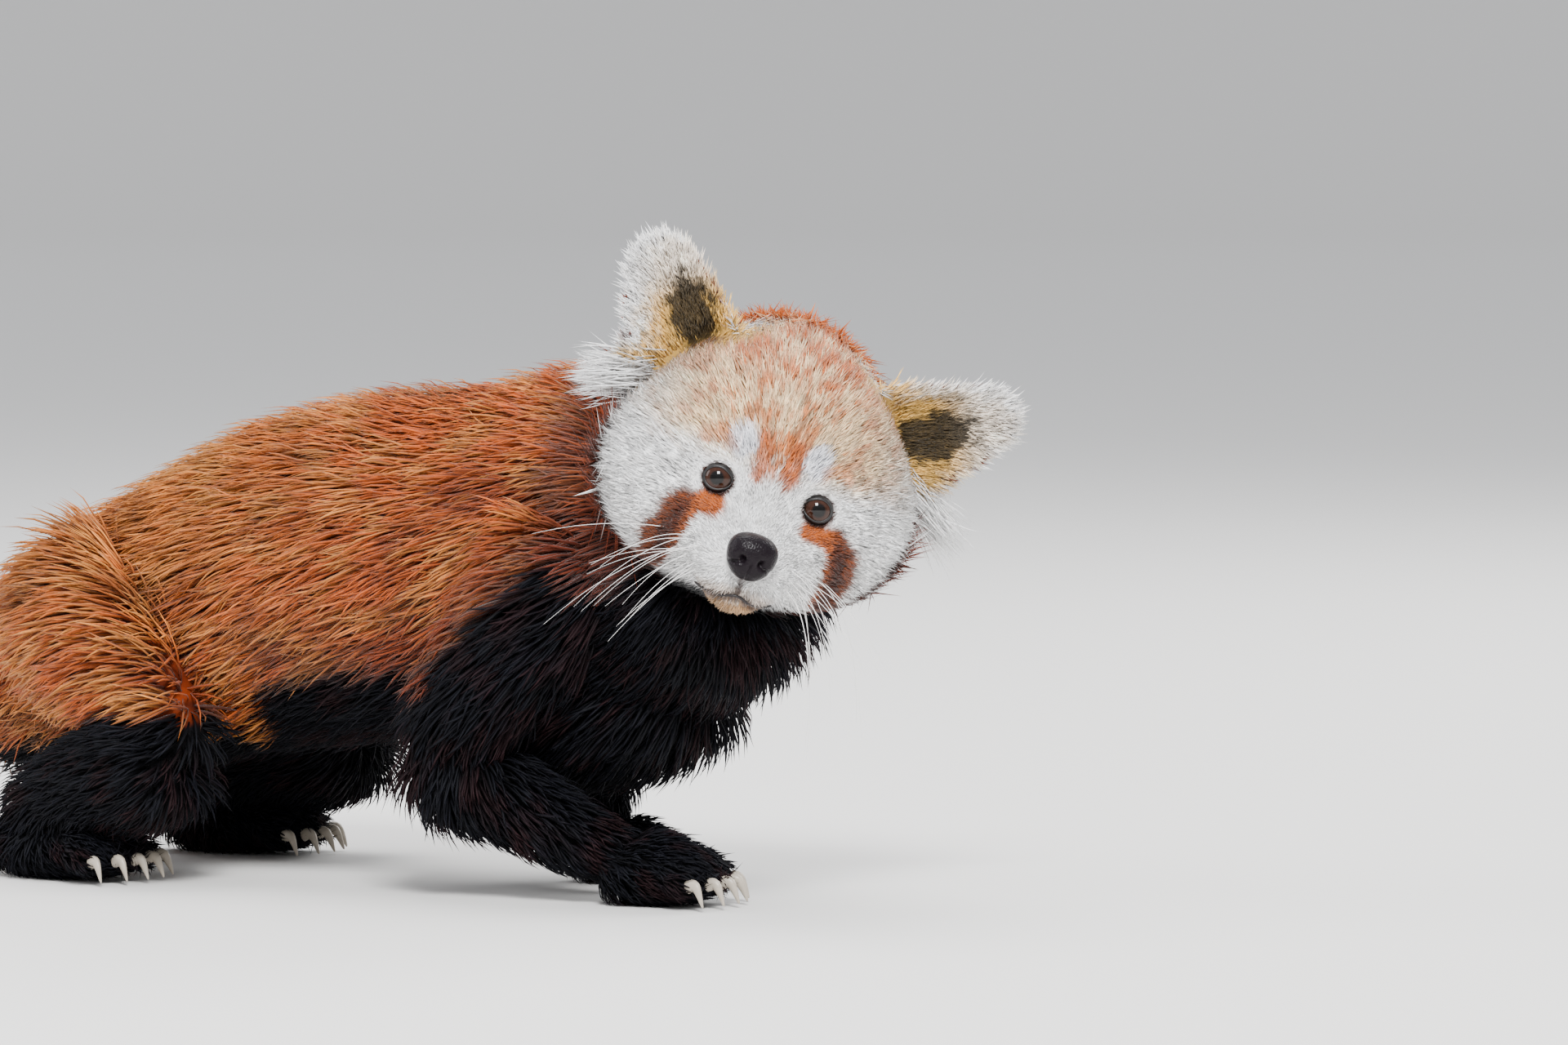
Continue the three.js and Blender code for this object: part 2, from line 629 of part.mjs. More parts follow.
const materials = Object.fromEntries(
  Object.entries(FINISH).map(([name, look]) => [name, new THREE.MeshStandardMaterial({ ...look, metalness: 0 })]),
);

const model = new THREE.Group();
for (const [name, body] of Object.entries(solids)) {
  const { vertProperties, triVerts } = largest(body.intersect(aboveFloor)).getMesh();
  const g = new THREE.BufferGeometry();
  g.setAttribute("position", new THREE.BufferAttribute(vertProperties, 3));
  g.setIndex(new THREE.BufferAttribute(triVerts, 1));
  const mesh = new THREE.Mesh(g, materials[finishOf(name)]);
  mesh.name = name;
  model.add(mesh);
}

// The origin is on the floor, under the middle of the whole model.
const extent = new THREE.Box3().setFromObject(model);
const centre = extent.getCenter(V(0, 0, 0));
model.position.set(-centre.x, -centre.y, -extent.min.z);

export default model;
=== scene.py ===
"""A life-size red panda: one skin, a coat of solid tufts, and its eyes, nose, claws and whiskers.

Lengths inside the shape functions are millimetres in the maker's own axes; place() brings them
to the model's metres. The head has axes of its own: x to the nose, y to its left, z up.
"""
import math

import bpy
import numpy as np
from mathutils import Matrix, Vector


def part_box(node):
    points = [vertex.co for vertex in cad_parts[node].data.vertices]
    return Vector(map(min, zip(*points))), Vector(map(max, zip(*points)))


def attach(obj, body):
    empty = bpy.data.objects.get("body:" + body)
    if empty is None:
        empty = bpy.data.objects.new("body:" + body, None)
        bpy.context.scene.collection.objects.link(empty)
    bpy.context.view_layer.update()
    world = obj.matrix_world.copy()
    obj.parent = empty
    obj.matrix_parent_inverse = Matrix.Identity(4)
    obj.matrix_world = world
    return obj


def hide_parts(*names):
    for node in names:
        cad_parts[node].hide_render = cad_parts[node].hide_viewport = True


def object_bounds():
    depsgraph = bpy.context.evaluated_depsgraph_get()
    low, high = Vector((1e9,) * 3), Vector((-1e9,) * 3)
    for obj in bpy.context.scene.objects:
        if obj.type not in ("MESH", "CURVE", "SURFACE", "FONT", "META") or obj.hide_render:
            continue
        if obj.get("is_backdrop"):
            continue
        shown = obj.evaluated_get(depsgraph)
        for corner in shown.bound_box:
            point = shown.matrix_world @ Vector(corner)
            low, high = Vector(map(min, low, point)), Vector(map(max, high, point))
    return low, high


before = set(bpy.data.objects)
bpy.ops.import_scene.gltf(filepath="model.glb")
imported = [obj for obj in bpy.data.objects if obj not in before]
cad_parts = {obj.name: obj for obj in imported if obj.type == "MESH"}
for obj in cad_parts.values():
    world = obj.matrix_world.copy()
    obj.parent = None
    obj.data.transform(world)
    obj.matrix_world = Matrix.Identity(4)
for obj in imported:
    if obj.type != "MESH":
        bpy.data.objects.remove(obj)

bl_info = {
    "name": "Red panda",
    "version": (1, 0, 0),
    "blender": (4, 5, 0),
    "location": "3D View > Sidebar > Red panda",
    "description": "Builds a life-size red panda with its coat, eyes, nose, claws and whiskers",
    "category": "Object",
}

CAD_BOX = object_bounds()
SEED = 7
# How far above the floor the lowest points of the skin, tufts and whiskers lie.
SKIN_LOW, TUFT_LOW, WHISKER_LOW = 0.6, 0.3, 0.5
# The unwrapped skin: cells to a side, the margin of a cell, its breadth, and the step of a tuft's patch.
CELLS, MARGIN, BREADTH, PATCH_STEP = 6, 0.005, 0.155, 0.001
# In the head's axes: how far forward and to each side the eyes lie, the nose, and the egg kept free of fur.
EYE_FORWARD, EYE_SIDE = 52.0, 23.5
NOSE_AT = np.array([90.2, -3.0, -23.5])
NOSE_CLEAR, NOSE_CLEAR_HALF = (90, -3, -23.5), (13, 11.3, 10.8)
HEAD_PLACE = np.array([21.0, -32.0, 196.0])
# The view: its turn and rise round the model, its distance in metres, its middle and its lens.
VIEW_TURN, VIEW_RISE, VIEW_AWAY = math.radians(30), math.radians(3), 3.5
VIEW_AT, LENS, SENSOR = (18.78, -4.51, 173.10), 177.19, 36


def unit(v):
    """Vectors scaled to a length of one."""
    return v / np.maximum(np.linalg.norm(v, axis=-1, keepdims=True), 1e-9)


def head_axes():
    """The head's forward, left and up: facing the viewer, then turned, tipped down and rolled."""
    viewer = unit(np.array([0.4993, -0.8648, 0.0523]))
    right = np.array([math.cos(math.pi / 6), math.sin(math.pi / 6), 0.0])
    yaw, pitch, roll = map(math.radians, (5, 10, 19))
    upward = unit(np.cross(viewer, right))
    nose = viewer * math.cos(yaw) * math.cos(pitch) + right * math.sin(yaw) * math.cos(pitch)
    nose = unit(nose - upward * math.sin(pitch))
    left = right * math.cos(roll) - upward * math.sin(roll)
    left = unit(left - nose * left.dot(nose))
    return np.array([nose, left, np.cross(nose, left)])


AXES = head_axes()


def eye_middle():
    """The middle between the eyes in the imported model, in millimetres."""
    boxes = [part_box("eye_right"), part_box("eye_left")]
    return 1000 * np.mean([np.mean(np.asarray(b, float), axis=0) for b in boxes], axis=0)


SHIFT = eye_middle() - (HEAD_PLACE + EYE_FORWARD * AXES[0])


def place(p):
    """Millimetres in the maker's axes to the model's metres."""
    return (np.asarray(p) + SHIFT) / 1000


def from_head(p):
    """Head coordinates to the maker's axes."""
    return HEAD_PLACE + np.asarray(p) @ AXES


def to_head(p):
    """The maker's axes to head coordinates."""
    return (np.asarray(p) - HEAD_PLACE) @ AXES.T


# Plain helpers on arrays.


def srgb(*rgb):
    """A screen colour of 0 to 255 as linear light."""
    c = np.array(rgb, float) / 255
    return np.where(c < 0.04045, c / 12.92, ((c + 0.055) / 1.055) ** 2.4)


def ramp(x, low, high):
    """0 below low, 1 above high and an eased slope between; low may be the greater."""
    s = np.clip((x - low) / (high - low), 0, 1)
    return s * s * (3 - 2 * s)


def noise(p, size, seed=0):
    """Smooth value noise, 0 to 1: random numbers on a lattice of the given size, blended between."""
    q = np.asarray(p, float) / size + 100.5
    cell = np.floor(q).astype(np.int64)
    f = q - cell
    f = f * f * (3 - 2 * f)
    total = 0
    for corner in range(8):
        step = np.array([corner & 1, corner >> 1 & 1, corner >> 2 & 1])
        x, y, z = (cell + step).T
        h = (x * 73856093) ^ (y * 19349663) ^ (z * 83492791) ^ (seed * 2654435761)
        h = (h ^ (h >> 13)) * 1274126177 & 0x7FFFFFFF
        value = (h % 65521) / 65521
        total = total + value * np.prod(np.where(step, f, 1 - f), axis=-1)
    return total


def mix(a, b, mask):
    """Colour a turned into b where the mask is 1."""
    return a + (b - a) * np.asarray(mask)[..., None]


def near_line(y, z, points):
    """The distance from each (y, z) to a line through the given points."""
    best = np.full(np.shape(y), 1e9)
    for (y0, z0), (y1, z1) in zip(points[:-1], points[1:]):
        dy, dz = y1 - y0, z1 - z0
        s = np.clip(((y - y0) * dy + (z - z0) * dz) / (dy * dy + dz * dz), 0, 1)
        best = np.minimum(best, np.hypot(y - y0 - s * dy, z - z0 - s * dz))
    return best


def spline(rows, t):
    """A smooth (Catmull-Rom) curve through the rows of numbers, read at t from 0 to 1."""
    rows = np.asarray(rows, float)
    last = len(rows) - 1
    f = np.clip(t, 0, 1) * last
    i = np.minimum(f.astype(int), last - 1)
    u = (f - i)[..., None]
    a, b, c, d = (rows[np.clip(i + k, 0, last)] for k in (-1, 0, 1, 2))
    square, cube = 2 * a - 5 * b + 4 * c - d, 3 * b - a - 3 * c + d
    return 0.5 * (2 * b + (c - a) * u + square * u**2 + cube * u**3)


def tube(rows, t, angle, up=(0, 0, 1), cap=0.1, grow=0.0, facing=None):
    """An oval section carried along a smooth curve, with rounded ends.

    A row is x, y, z, half width a, half height b and top narrowing k. Across the section the point is
    a cos(angle) (1 - k sin(angle)) sideways and b sin(angle) upwards, both rounded off by the ends.
    """
    t, angle = np.broadcast_arrays(np.asarray(t, float), np.asarray(angle, float))
    v = spline(rows, t)
    e = 0.004
    along = spline(rows, t + e)[..., :3] - spline(rows, t - e)[..., :3]
    if facing is not None:
        along = np.broadcast_to(np.asarray(facing, float), along.shape)
    along = unit(along)
    side = unit(np.cross(np.asarray(up, float), along))
    over = unit(np.cross(along, side))
    end = np.minimum(1, np.minimum(t, 1 - t) / cap)
    shrink = np.sqrt(np.clip(1 - (1 - end) ** 2, 0, 1))
    k = v[..., 5] if v.shape[-1] > 5 else 0
    a = (v[..., 3] + grow) * shrink * np.cos(angle) * (1 - k * np.sin(angle))
    b = (v[..., 4] + grow) * shrink * np.sin(angle)
    slide = grow * (2 * t - 1) * (1 - end)
    return v[..., :3] + side * a[..., None] + over * b[..., None] + along * slide[..., None]


# The body's forms: x, y, z, half width, half height, top narrowing.
TRUNK = [
    [-430, 0, 80, 34, 30, 0], [-396, 0, 88, 60, 54, 0.04], [-350, 0, 104, 74, 67, 0.08],
    [-296, 0, 122, 80, 77, 0.12], [-240, 0, 139, 80, 85, 0.14], [-186, 0, 148, 79, 88, 0.14],
    [-134, 0, 153, 75, 87, 0.12], [-90, -2, 156, 72, 92, 0.08], [-50, -8, 160, 69, 91, 0],
    [-14, -16, 166, 65, 82, -0.04], [16, -30, 180, 54, 62, 0],
]
BREAST = [
    [-140, 0, 112, 44, 40, 0], [-108, 0, 100, 54, 50, 0], [-74, -2, 96, 54, 50, 0],
    [-42, -6, 102, 46, 44, 0], [-16, -12, 118, 34, 36, 0],
]
SKULL = [
    [-54, 0, 4, 26, 30, 0], [-36, 0, 6, 46, 50, 0], [-12, 0, 8, 62, 62, 0.1], [12, 0, 6, 68, 64, 0.16],
    [32, 0, 0, 66, 57, 0.16], [47, 0, -8, 53, 42, 0.1], [56, 0, -20, 39, 26, 0.06],
    [65, 0, -25, 30, 20.5, 0.1], [75, 0, -27, 25.5, 18, 0.14], [84, 0, -28, 21, 15, 0.14],
    [91, 0, -28, 14, 11, 0],
]
TAIL = [
    [-384, 0, 94, 36, 34], [-418, 0, 86, 38, 35], [-452, 2, 70, 42, 40], [-500, 10, 54, 46, 44],
    [-556, 28, 46, 48, 46], [-610, 56, 45, 48, 46], [-660, 92, 45, 46, 45], [-702, 134, 43, 42, 42],
    [-734, 178, 38, 33, 34], [-752, 214, 30, 18, 20],
]
LIMBS = {
    "right_upper_arm": [
        [-56, -46, 176, 30, 38], [-70, -56, 146, 35, 44], [-98, -62, 108, 33, 38],
        [-124, -62, 72, 28, 30], [-130, -61, 56, 20, 20],
    ],
    "right_forearm": [
        [-142, -61, 74, 20, 20], [-122, -60, 60, 26, 27], [-90, -55, 43, 24, 24],
        [-60, -49, 28, 21, 20], [-38, -44, 20, 17, 17],
    ],
    "left_upper_arm": [
        [-50, 46, 178, 30, 38], [-58, 56, 146, 35, 42], [-80, 60, 112, 32, 37], [-106, 59, 80, 27, 29],
        [-114, 57, 62, 19, 20],
    ],
    "left_forearm": [
        [-126, 58, 84, 19, 20], [-120, 55, 70, 25, 26], [-115, 47, 48, 23, 24], [-110, 41, 32, 20, 20],
        [-104, 37, 20, 17, 17],
    ],
    "right_thigh": [
        [-364, -34, 146, 34, 44], [-336, -54, 124, 42, 54], [-296, -70, 96, 40, 48],
        [-266, -78, 68, 33, 36], [-256, -80, 52, 22, 24],
    ],
    "right_shank": [
        [-254, -81, 66, 24, 24], [-276, -80, 56, 30, 32], [-308, -77, 45, 29, 30],
        [-338, -73, 34, 25, 26], [-360, -70, 24, 20, 20],
    ],
}
for part in ("thigh", "shank"):
    LIMBS["left_" + part] = [[x, -y, z, a, b] for x, y, z, a, b in LIMBS["right_" + part]]
FEET = {
    "right_forepaw": {"heel": (-52, -44), "turn": 0.1, "length": 60, "half": 25, "high": 33},
    "left_forepaw": {"heel": (-114, 37), "turn": -0.12, "length": 58, "half": 24, "high": 32},
    "right_hindfoot": {"heel": (-368, -70), "turn": -0.1, "length": 88, "half": 24, "high": 32},
    "left_hindfoot": {"heel": (-368, 70), "turn": 0.1, "length": 88, "half": 24, "high": 32},
}
EARS = {
    "right": {"side": -1, "base": (-4, -47, 38), "lean": 0.7, "turn": -0.3, "point": 0.14, "patch": 0.28},
    "left": {"side": 1, "base": (-4, 52, 30), "lean": 1.06, "turn": 0.3, "point": 0.1, "patch": 0.08},
}
EAR_HEIGHT, EAR_WIDTH = 60.0, 64.0
FLESH = ["head", "neck", "torso", "ear_right", "ear_left"]
FLESH += ["tail_root", "tail_middle", "tail_ring_end", "tail_tip", *LIMBS, *FEET]

# How far the skin lies under the tips of the coat.
DEPTH = {"trunk": 17, "breast": 12, "skull": 5, "upper": 14, "thigh": 19, "limb": 8, "foot": 4, "tail": 24}

# The tail's flesh ends a hair's length before its tip.
TAIL_SHARE = 0.91
TAIL_CORE = spline(TAIL, np.linspace(0, TAIL_SHARE, 14))


def trunk(t, angle):
    """The trunk from the tail's root to the neck."""
    return tube(TRUNK, t, angle, cap=0.08, grow=-DEPTH["trunk"])


def breast(t, angle):
    """The deep chest between the forelegs."""
    return tube(BREAST, t, angle, cap=0.22, grow=-DEPTH["breast"])


def skull(t, angle):
    """The head from its back to the muzzle, with sections that all face forward."""
    return from_head(tube(SKULL, t, angle, cap=0.09, grow=-DEPTH["skull"], facing=(1, 0, 0)))


def tail(t, angle):
    """The flesh of the tail, laid on the floor in a slow curve."""
    return tube(TAIL_CORE, t, angle, cap=0.07, grow=-DEPTH["tail"])


def limb(name):
    """A limb's length: its section's axes lie in the bending plane and across it."""
    rows = [[x, y, z, deep, across] for x, y, z, across, deep in LIMBS[name]]
    kind = "thigh" if "thigh" in name else "upper" if "upper" in name else "limb"
    depth = DEPTH[kind]
    return lambda t, angle: tube(rows, t, angle, up=(0, 1, 0), cap=0.16, grow=-depth)


def heading(foot, climb=0.0):
    """The way a foot points along the floor, with a climb or a dip."""
    return np.array([math.cos(foot["turn"]), math.sin(foot["turn"]), climb])


def toes(foot):
    """Each toe's knuckle, tip and heading, fanned across the front of the foot."""
    ahead = heading(foot)
    across = np.array([-ahead[1], ahead[0], 0])
    for s in (-1, -0.5, 0, 0.5, 1):
        fan = unit(ahead + 0.34 * s * across)
        heel = np.array([*foot["heel"], 0.0])
        knuckle = heel + ahead * (foot["length"] * 0.62 - 5 * s * s) + across * s * foot["half"] * 0.62
        knuckle[2] = foot["high"] * 0.52
        tip = knuckle + fan * (foot["length"] * 0.26 + (3 if foot["high"] > 32.5 else 0))
        tip[2] = foot["high"] * 0.28
        yield knuckle, tip, fan


def foot_forms(foot):
    """The sole's form and one for each toe."""
    ahead = heading(foot)
    half, high = foot["half"], foot["high"]
    rows = []
    for s, z, a, b in (
        (-0.08, 13, half * 0.6, 11),
        (0.15, 15, half * 0.8, 17),
        (0.45, 16, half * 0.98, high - 15),
        (0.7, 14, half, high - 18),
        (0.86, 12, half * 0.8, 10),
    ):
        p = np.array([*foot["heel"], z]) + ahead * s * foot["length"]
        rows.append([*p, a, b])
    yield lambda t, angle: tube(rows, t, angle, cap=0.2, grow=-DEPTH["foot"])
    for knuckle, tip, _ in toes(foot):
        middle = (knuckle + tip) / 2 + (0, 0, 2)
        digit = [[*knuckle, 6, 8], [*middle, 6.6, 8.2], [*tip, 5.6, 7]]
        yield lambda t, angle, digit=digit: tube(digit, t, angle, cap=0.35, grow=-1.4)


def ear_frame(ear):
    """The ear's foot, its rise to the tip, its width and the way its hollow faces, in the head's axes."""
    rise = np.array([0, ear["side"] * math.sin(ear["lean"]), math.cos(ear["lean"])])
    face = np.array([math.cos(ear["turn"]), math.sin(ear["turn"]), 0])
    face = unit(face - rise * face.dot(rise))
    return np.array(ear["base"], float), rise, np.cross(rise, face), face


def ear_form(ear, thick=3.0, root=0.28):
    """A curved leaf: its half width narrows to a round tip and its middle is pushed back into a hollow."""
    foot, rise, across, face = ear_frame(ear)

    def shape(t, angle):
        t, angle = np.broadcast_arrays(np.asarray(t, float), np.asarray(angle, float))
        s = np.cos(angle)
        high = -root + (1 + root) * t
        narrow = np.clip((t - 0.25) / 0.75, 0, 1)
        ends = np.sqrt(np.clip(1 - np.clip((t - 0.86) / 0.14, 0, 1) ** 2, 0, 1)) * np.clip(t / 0.03, 0, 1)
        half = (EAR_WIDTH / 2 - 3) * (1 - 0.6 * narrow**1.25) * ends
        hollow = 15 * (1 - s * s) * (1 - narrow**2)
        depth = thick * np.sin(angle) * np.clip(ends * 1.5, 0, 1)
        p = foot + rise * (high * (EAR_HEIGHT - 2))[..., None]
        p = p + across * (s * half - ear["side"] * ear["point"] * high * EAR_HEIGHT)[..., None]
        return from_head(p + face * (depth - hollow + 6)[..., None])

    return shape


def grid(shape, along, around):
    """A form on a grid from pole to pole: t, angle and points."""
    t = (1 - np.cos(np.pi * np.arange(along + 1) / along)) / 2
    angle = 2 * np.pi * np.arange(around) / around
    return t, angle, shape(t[:, None], angle[None, :])


# Meshes from arrays.


def put(name, data):
    """An object in the scene for a mesh, light or camera."""
    thing = bpy.data.objects.new(name, data)
    bpy.context.scene.collection.objects.link(thing)
    return thing


def new_object(name, verts, faces):
    """A smooth mesh object from points in metres and faces of equal size, set as whole arrays."""
    mesh = bpy.data.meshes.new(name)
    faces = np.asarray(faces, np.int32)
    mesh.vertices.add(len(verts))
    mesh.vertices.foreach_set("co", np.asarray(verts, np.float32).ravel())
    mesh.loops.add(faces.size)
    mesh.loops.foreach_set("vertex_index", faces.ravel())
    mesh.polygons.add(len(faces))
    mesh.polygons.foreach_set("loop_start", np.arange(0, faces.size, faces.shape[1], dtype=np.int32))
    mesh.update(calc_edges=True)
    mesh.validate()
    mesh.polygons.foreach_set("use_smooth", np.ones(len(mesh.polygons), bool))
    return put(name, mesh)


def quads(rows, cols, closed):
    """Four-sided faces of a grid that closes round its columns, and where closed is true round its rows."""
    i, j = np.meshgrid(np.arange(rows if closed else rows - 1), np.arange(cols), indexing="ij")
    i2, j2 = (i + 1) % rows, (j + 1) % cols
    return np.stack([i * cols + j, i2 * cols + j, i2 * cols + j2, i * cols + j2], -1).reshape(-1, 4)


def closed_grid(points):
    """Points and triangles of a grid whose first and last rows are each drawn into one pole."""
    rows, cols = points.shape[:2]
    body = points[1:-1].reshape(-1, 3)
    verts = np.vstack([points[0].mean(0), body, points[-1].mean(0)])
    j = np.arange(cols)
    k = (j + 1) % cols
    faces = [np.stack([np.zeros(cols, int), 1 + k, 1 + j], 1)]
    for i in range(rows - 3):
        a, b = 1 + i * cols, 1 + (i + 1) * cols
        faces += [np.stack([a + j, a + k, b + k], 1), np.stack([a + j, b + k, b + j], 1)]
    a = 1 + (rows - 3) * cols
    faces.append(np.stack([a + j, a + k, np.full(cols, len(verts) - 1)], 1))
    faces = np.vstack(faces)
    p = verts[faces] - verts.mean(0)
    if np.einsum("ij,ij->", p[:, 0], np.cross(p[:, 1], p[:, 2])) < 0:
        faces = faces[:, ::-1]
    return verts, faces


def closed_tube(rows, along, around, **shape):
    """Points and triangles of a tube along the rows."""
    return closed_grid(grid(lambda t, angle: tube(rows, t, angle, **shape), along, around)[2])


def joined(pieces):
    """Several (points, faces) pairs as one."""
    verts, faces, start = [], [], 0
    for v, f in pieces:
        verts.append(v)
        faces.append(f + start)
        start += len(v)
    return np.vstack(verts), np.vstack(faces)


def paint(thing, rgb):
    """A colour for each point of the mesh, or one for all, as the attribute coat."""
    rgba = np.ones((len(thing.data.vertices), 4), np.float32)
    rgba[:, :3] = rgb
    layer = thing.data.color_attributes.new("coat", "FLOAT_COLOR", "POINT")
    layer.data.foreach_set("color", rgba.ravel())


def read_points(mesh, what="co"):
    """The mesh's points, or its normals where what is vector."""
    out = np.empty(len(mesh.vertices) * 3, np.float32)
    (mesh.vertices if what == "co" else mesh.vertex_normals).foreach_get(what, out)
    return out.reshape(-1, 3).astype(float)


def adopt(thing, material, slot, *nodes):
    """The piece gets its material, rides on the root body and hides the named solids."""
    thing.data.materials.append(material)
    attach(thing, "root")
    if nodes:
        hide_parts(*nodes)


# The coat's field: at points spread over every form, the way the hair lies and how long it is.
COLUMNS = ("lx", "ly", "lz", "length", "width", "height", "density", "dark", "ring")
COLUMNS += ("is_head", "is_ear", "is_tail")


def columns_of(table):
    """The table's columns by name."""
    return {key: table[:, i] for i, key in enumerate(COLUMNS)}


def lie_of(shape, t, angle, sign):
    """The direction of the form's length at each grid point."""
    ahead, behind = (shape(np.clip(t + e, 0, 1)[:, None], angle[None]) for e in (0.01, -0.01))
    return unit(sign * (ahead - behind))


def coat_samples():
    """Points on each form with the coat's columns, and each point's place on the unwrapped skin."""
    rows, spots, sheets = [], [], []

    def add(p, lie, t, angle, *sizes, dark=0, ring=0, kind=None):
        """Sizes are length, width, height and density; each form has its own cell of the sheet."""
        values = (*sizes, dark, ring, *(float(kind == key) for key in COLUMNS[-3:]))
        table = [np.broadcast_to(value, p.shape[:2]).ravel() for value in values]
        rows.append(np.column_stack([lie.reshape(-1, 3), *table]))
        spots.append(p.reshape(-1, 3))
        u, v = np.meshgrid(angle / (2 * np.pi), t)
        corner = np.array([len(sheets) % CELLS, len(sheets) // CELLS]) / CELLS
        sheets.append(corner + MARGIN + BREADTH * np.column_stack([u.ravel(), v.ravel()]))

    down = np.array([0, 0, -1.0])
    t, angle, p = grid(trunk, 34, 24)
    top = np.sin(angle)[None, :]
    lie = unit(lie_of(trunk, t, angle, -1) + 0.45 * down * (1 - np.abs(top))[..., None])
    belly = ramp(top, -0.35, -0.75) * np.ones((len(t), 1))
    throat = ramp(t, 0.84, 0.95)[:, None] * ramp(top, 0.25, -0.2)
    length = 30 + 5 * ramp(t, 0.5, 0.1)[:, None] - 8 * belly
    add(p, lie, t, angle, length, 1.3, 10, 1.4, dark=np.maximum(belly, throat))
    t, angle, p = grid(breast, 14, 14)
    lie = unit(lie_of(breast, t, angle, -1) + 0.8 * down)
    add(p, lie, t, angle, 25, 1.7, 9, 1.0, dark=1.0)

    t, angle, p = grid(skull, 34, 34)
    h = to_head(p)
    x, y, z = h[..., 0], h[..., 1], h[..., 2]
    away = np.stack([-(20 + 0.4 * np.clip(x, 0, 99)), 0.9 * y, 0.75 * (z + 14)], -1)
    away = away + np.stack([0 * y, 0.35 * y, -14 * ramp(np.abs(y), 30, 60) * ramp(z, 20, -10)], -1)
    cheek = ramp(np.abs(y), 28, 50) * ramp(z, 26, 4)
    behind = ramp(x, 20, -14)
    muzzle = ramp(x, 50, 66)
    length = 8.5 + 4.5 * ramp(x, 45, 20) + 11 * cheek * ramp(x, 48, 22) + 9 * behind - 4.2 * muzzle
    height = 1.7 + 1.4 * ramp(x, 45, 15) + 5.2 * cheek * ramp(x, 44, 18) + 3.0 * behind - 0.7 * muzzle
    width = 0.74 + 0.2 * cheek + 0.4 * behind - 0.2 * muzzle
    density = 9.0 - 4.5 * behind + 4.0 * muzzle
    add(p, unit(away @ AXES), t, angle, length, width, height, density, kind="is_head")

    t, angle, p = grid(tail, 44, 16)
    length = 44 - 8 * ramp(t, 0.85, 1)[:, None]
    lie, ring = lie_of(tail, t, angle, 1), TAIL_SHARE * t[:, None]
    add(p, lie, t, angle, length, 1.9, 20, 1.9, ring=ring, kind="is_tail")
    for name, rows_of in LIMBS.items():
        t, angle, p = grid(limb(name), 14, 12)
        upper = name.endswith(("upper_arm", "thigh"))
        back = 1.5 * ramp(t, 0.6, 0.1)[:, None, None] * upper + 0.2
        bone = (spline(rows_of, t + 0.02) - spline(rows_of, t - 0.02))[:, None, :3]
        lie = unit(unit(bone) + 0.2 * down - back * np.array([1, 0, 0]))
        lie = np.broadcast_to([-0.9, 0, -0.45] if "thigh" in name else lie, p.shape)
        dark = ramp(t, 0.5, 0.9)[:, None] if "thigh" in name else 0.0 if upper else 1.0
        sizes = (25, 1.65, 9.5, 1.3) if upper else (16, 1.4, 5.2, 1.6)
        add(p, lie, t, angle, *sizes, dark=dark)
    for foot in FEET.values():
        t, angle, p = grid(next(foot_forms(foot)), 12, 12)
        add(p, np.broadcast_to(heading(foot, -0.25), p.shape), t, angle, 10, 1.1, 2.4, 3.2, dark=1.0)
    for ear in EARS.values():
        t, angle, p = grid(ear_form(ear), 22, 20)
        _, rise, across, face = ear_frame(ear)
        s = np.cos(angle)[None, :, None]
        lie = unit((rise + 0.9 * across * s + 0.1 * face * np.sin(angle)[None, :, None]) @ AXES)
        rim = np.maximum(np.abs(np.cos(angle))[None, :] ** 3, ramp(t, 0.82, 0.95)[:, None])
        add(p, np.broadcast_to(lie, p.shape), t, angle, 7 + 2 * rim, 0.75, 1.5, 9.5, kind="is_ear")
    return np.vstack(spots), np.vstack(rows), np.vstack(sheets)


SAMPLES, TABLE, SHEET = coat_samples()
SQUARES = (SAMPLES**2).sum(1)


def chunks(points, size=3000):
    """The points in runs that fit in memory."""
    return (points[k : k + size] for k in range(0, len(points), size))


def field_at(points, spread=9.0):
    """The coat's columns at any points: a weighted mean of the samples near each, nearest most."""
    out = []
    for q in chunks(points):
        d2 = (q**2).sum(1)[:, None] + SQUARES[None] - 2 * q @ SAMPLES.T
        d2 = np.maximum(d2 - d2.min(1, keepdims=True), 0).astype(np.float32)
        w = np.exp(-d2 / (2 * spread**2))
        out.append((w @ TABLE.astype(np.float32)) / w.sum(1, keepdims=True))
    return np.vstack(out).astype(float)


def nearest_sheet(points):
    """The nearest sample's place on the unwrapped skin."""
    out = [np.argmin(SQUARES[None] - 2 * q @ SAMPLES.T, axis=1) for q in chunks(points)]
    return SHEET[np.concatenate(out)]


# Colours.
RUST, RUST_TIP = srgb(140, 52, 14), srgb(194, 92, 28)
DEEP, GOLD, FLECK = srgb(86, 28, 10), srgb(218, 150, 70), srgb(202, 110, 42)
BLACK, BLACK_TIP = srgb(7, 7, 10), srgb(17, 18, 25)
WHITE, CREAM = srgb(253, 252, 251), srgb(240, 202, 148)
DUSTY, BROW_SPOT = srgb(206, 176, 150), srgb(236, 236, 242)
EYE_RUST, TEAR = srgb(186, 94, 38), srgb(72, 30, 14)
BUFF, EAR_DARK, EAR_BACK = srgb(222, 176, 92), srgb(42, 36, 26), srgb(118, 52, 28)
CHIN, MAROON = srgb(186, 148, 108), srgb(82, 30, 16)
RING_PALE, RING_DARK, TAIL_TIP = srgb(204, 148, 88), srgb(130, 56, 26), srgb(40, 24, 20)
PUPIL, LID_EDGE, LIP, WHISKER = srgb(5, 4, 4), srgb(14, 11, 11), srgb(26, 20, 20), srgb(245, 243, 240)
RINGS_ON_TAIL = 6.2


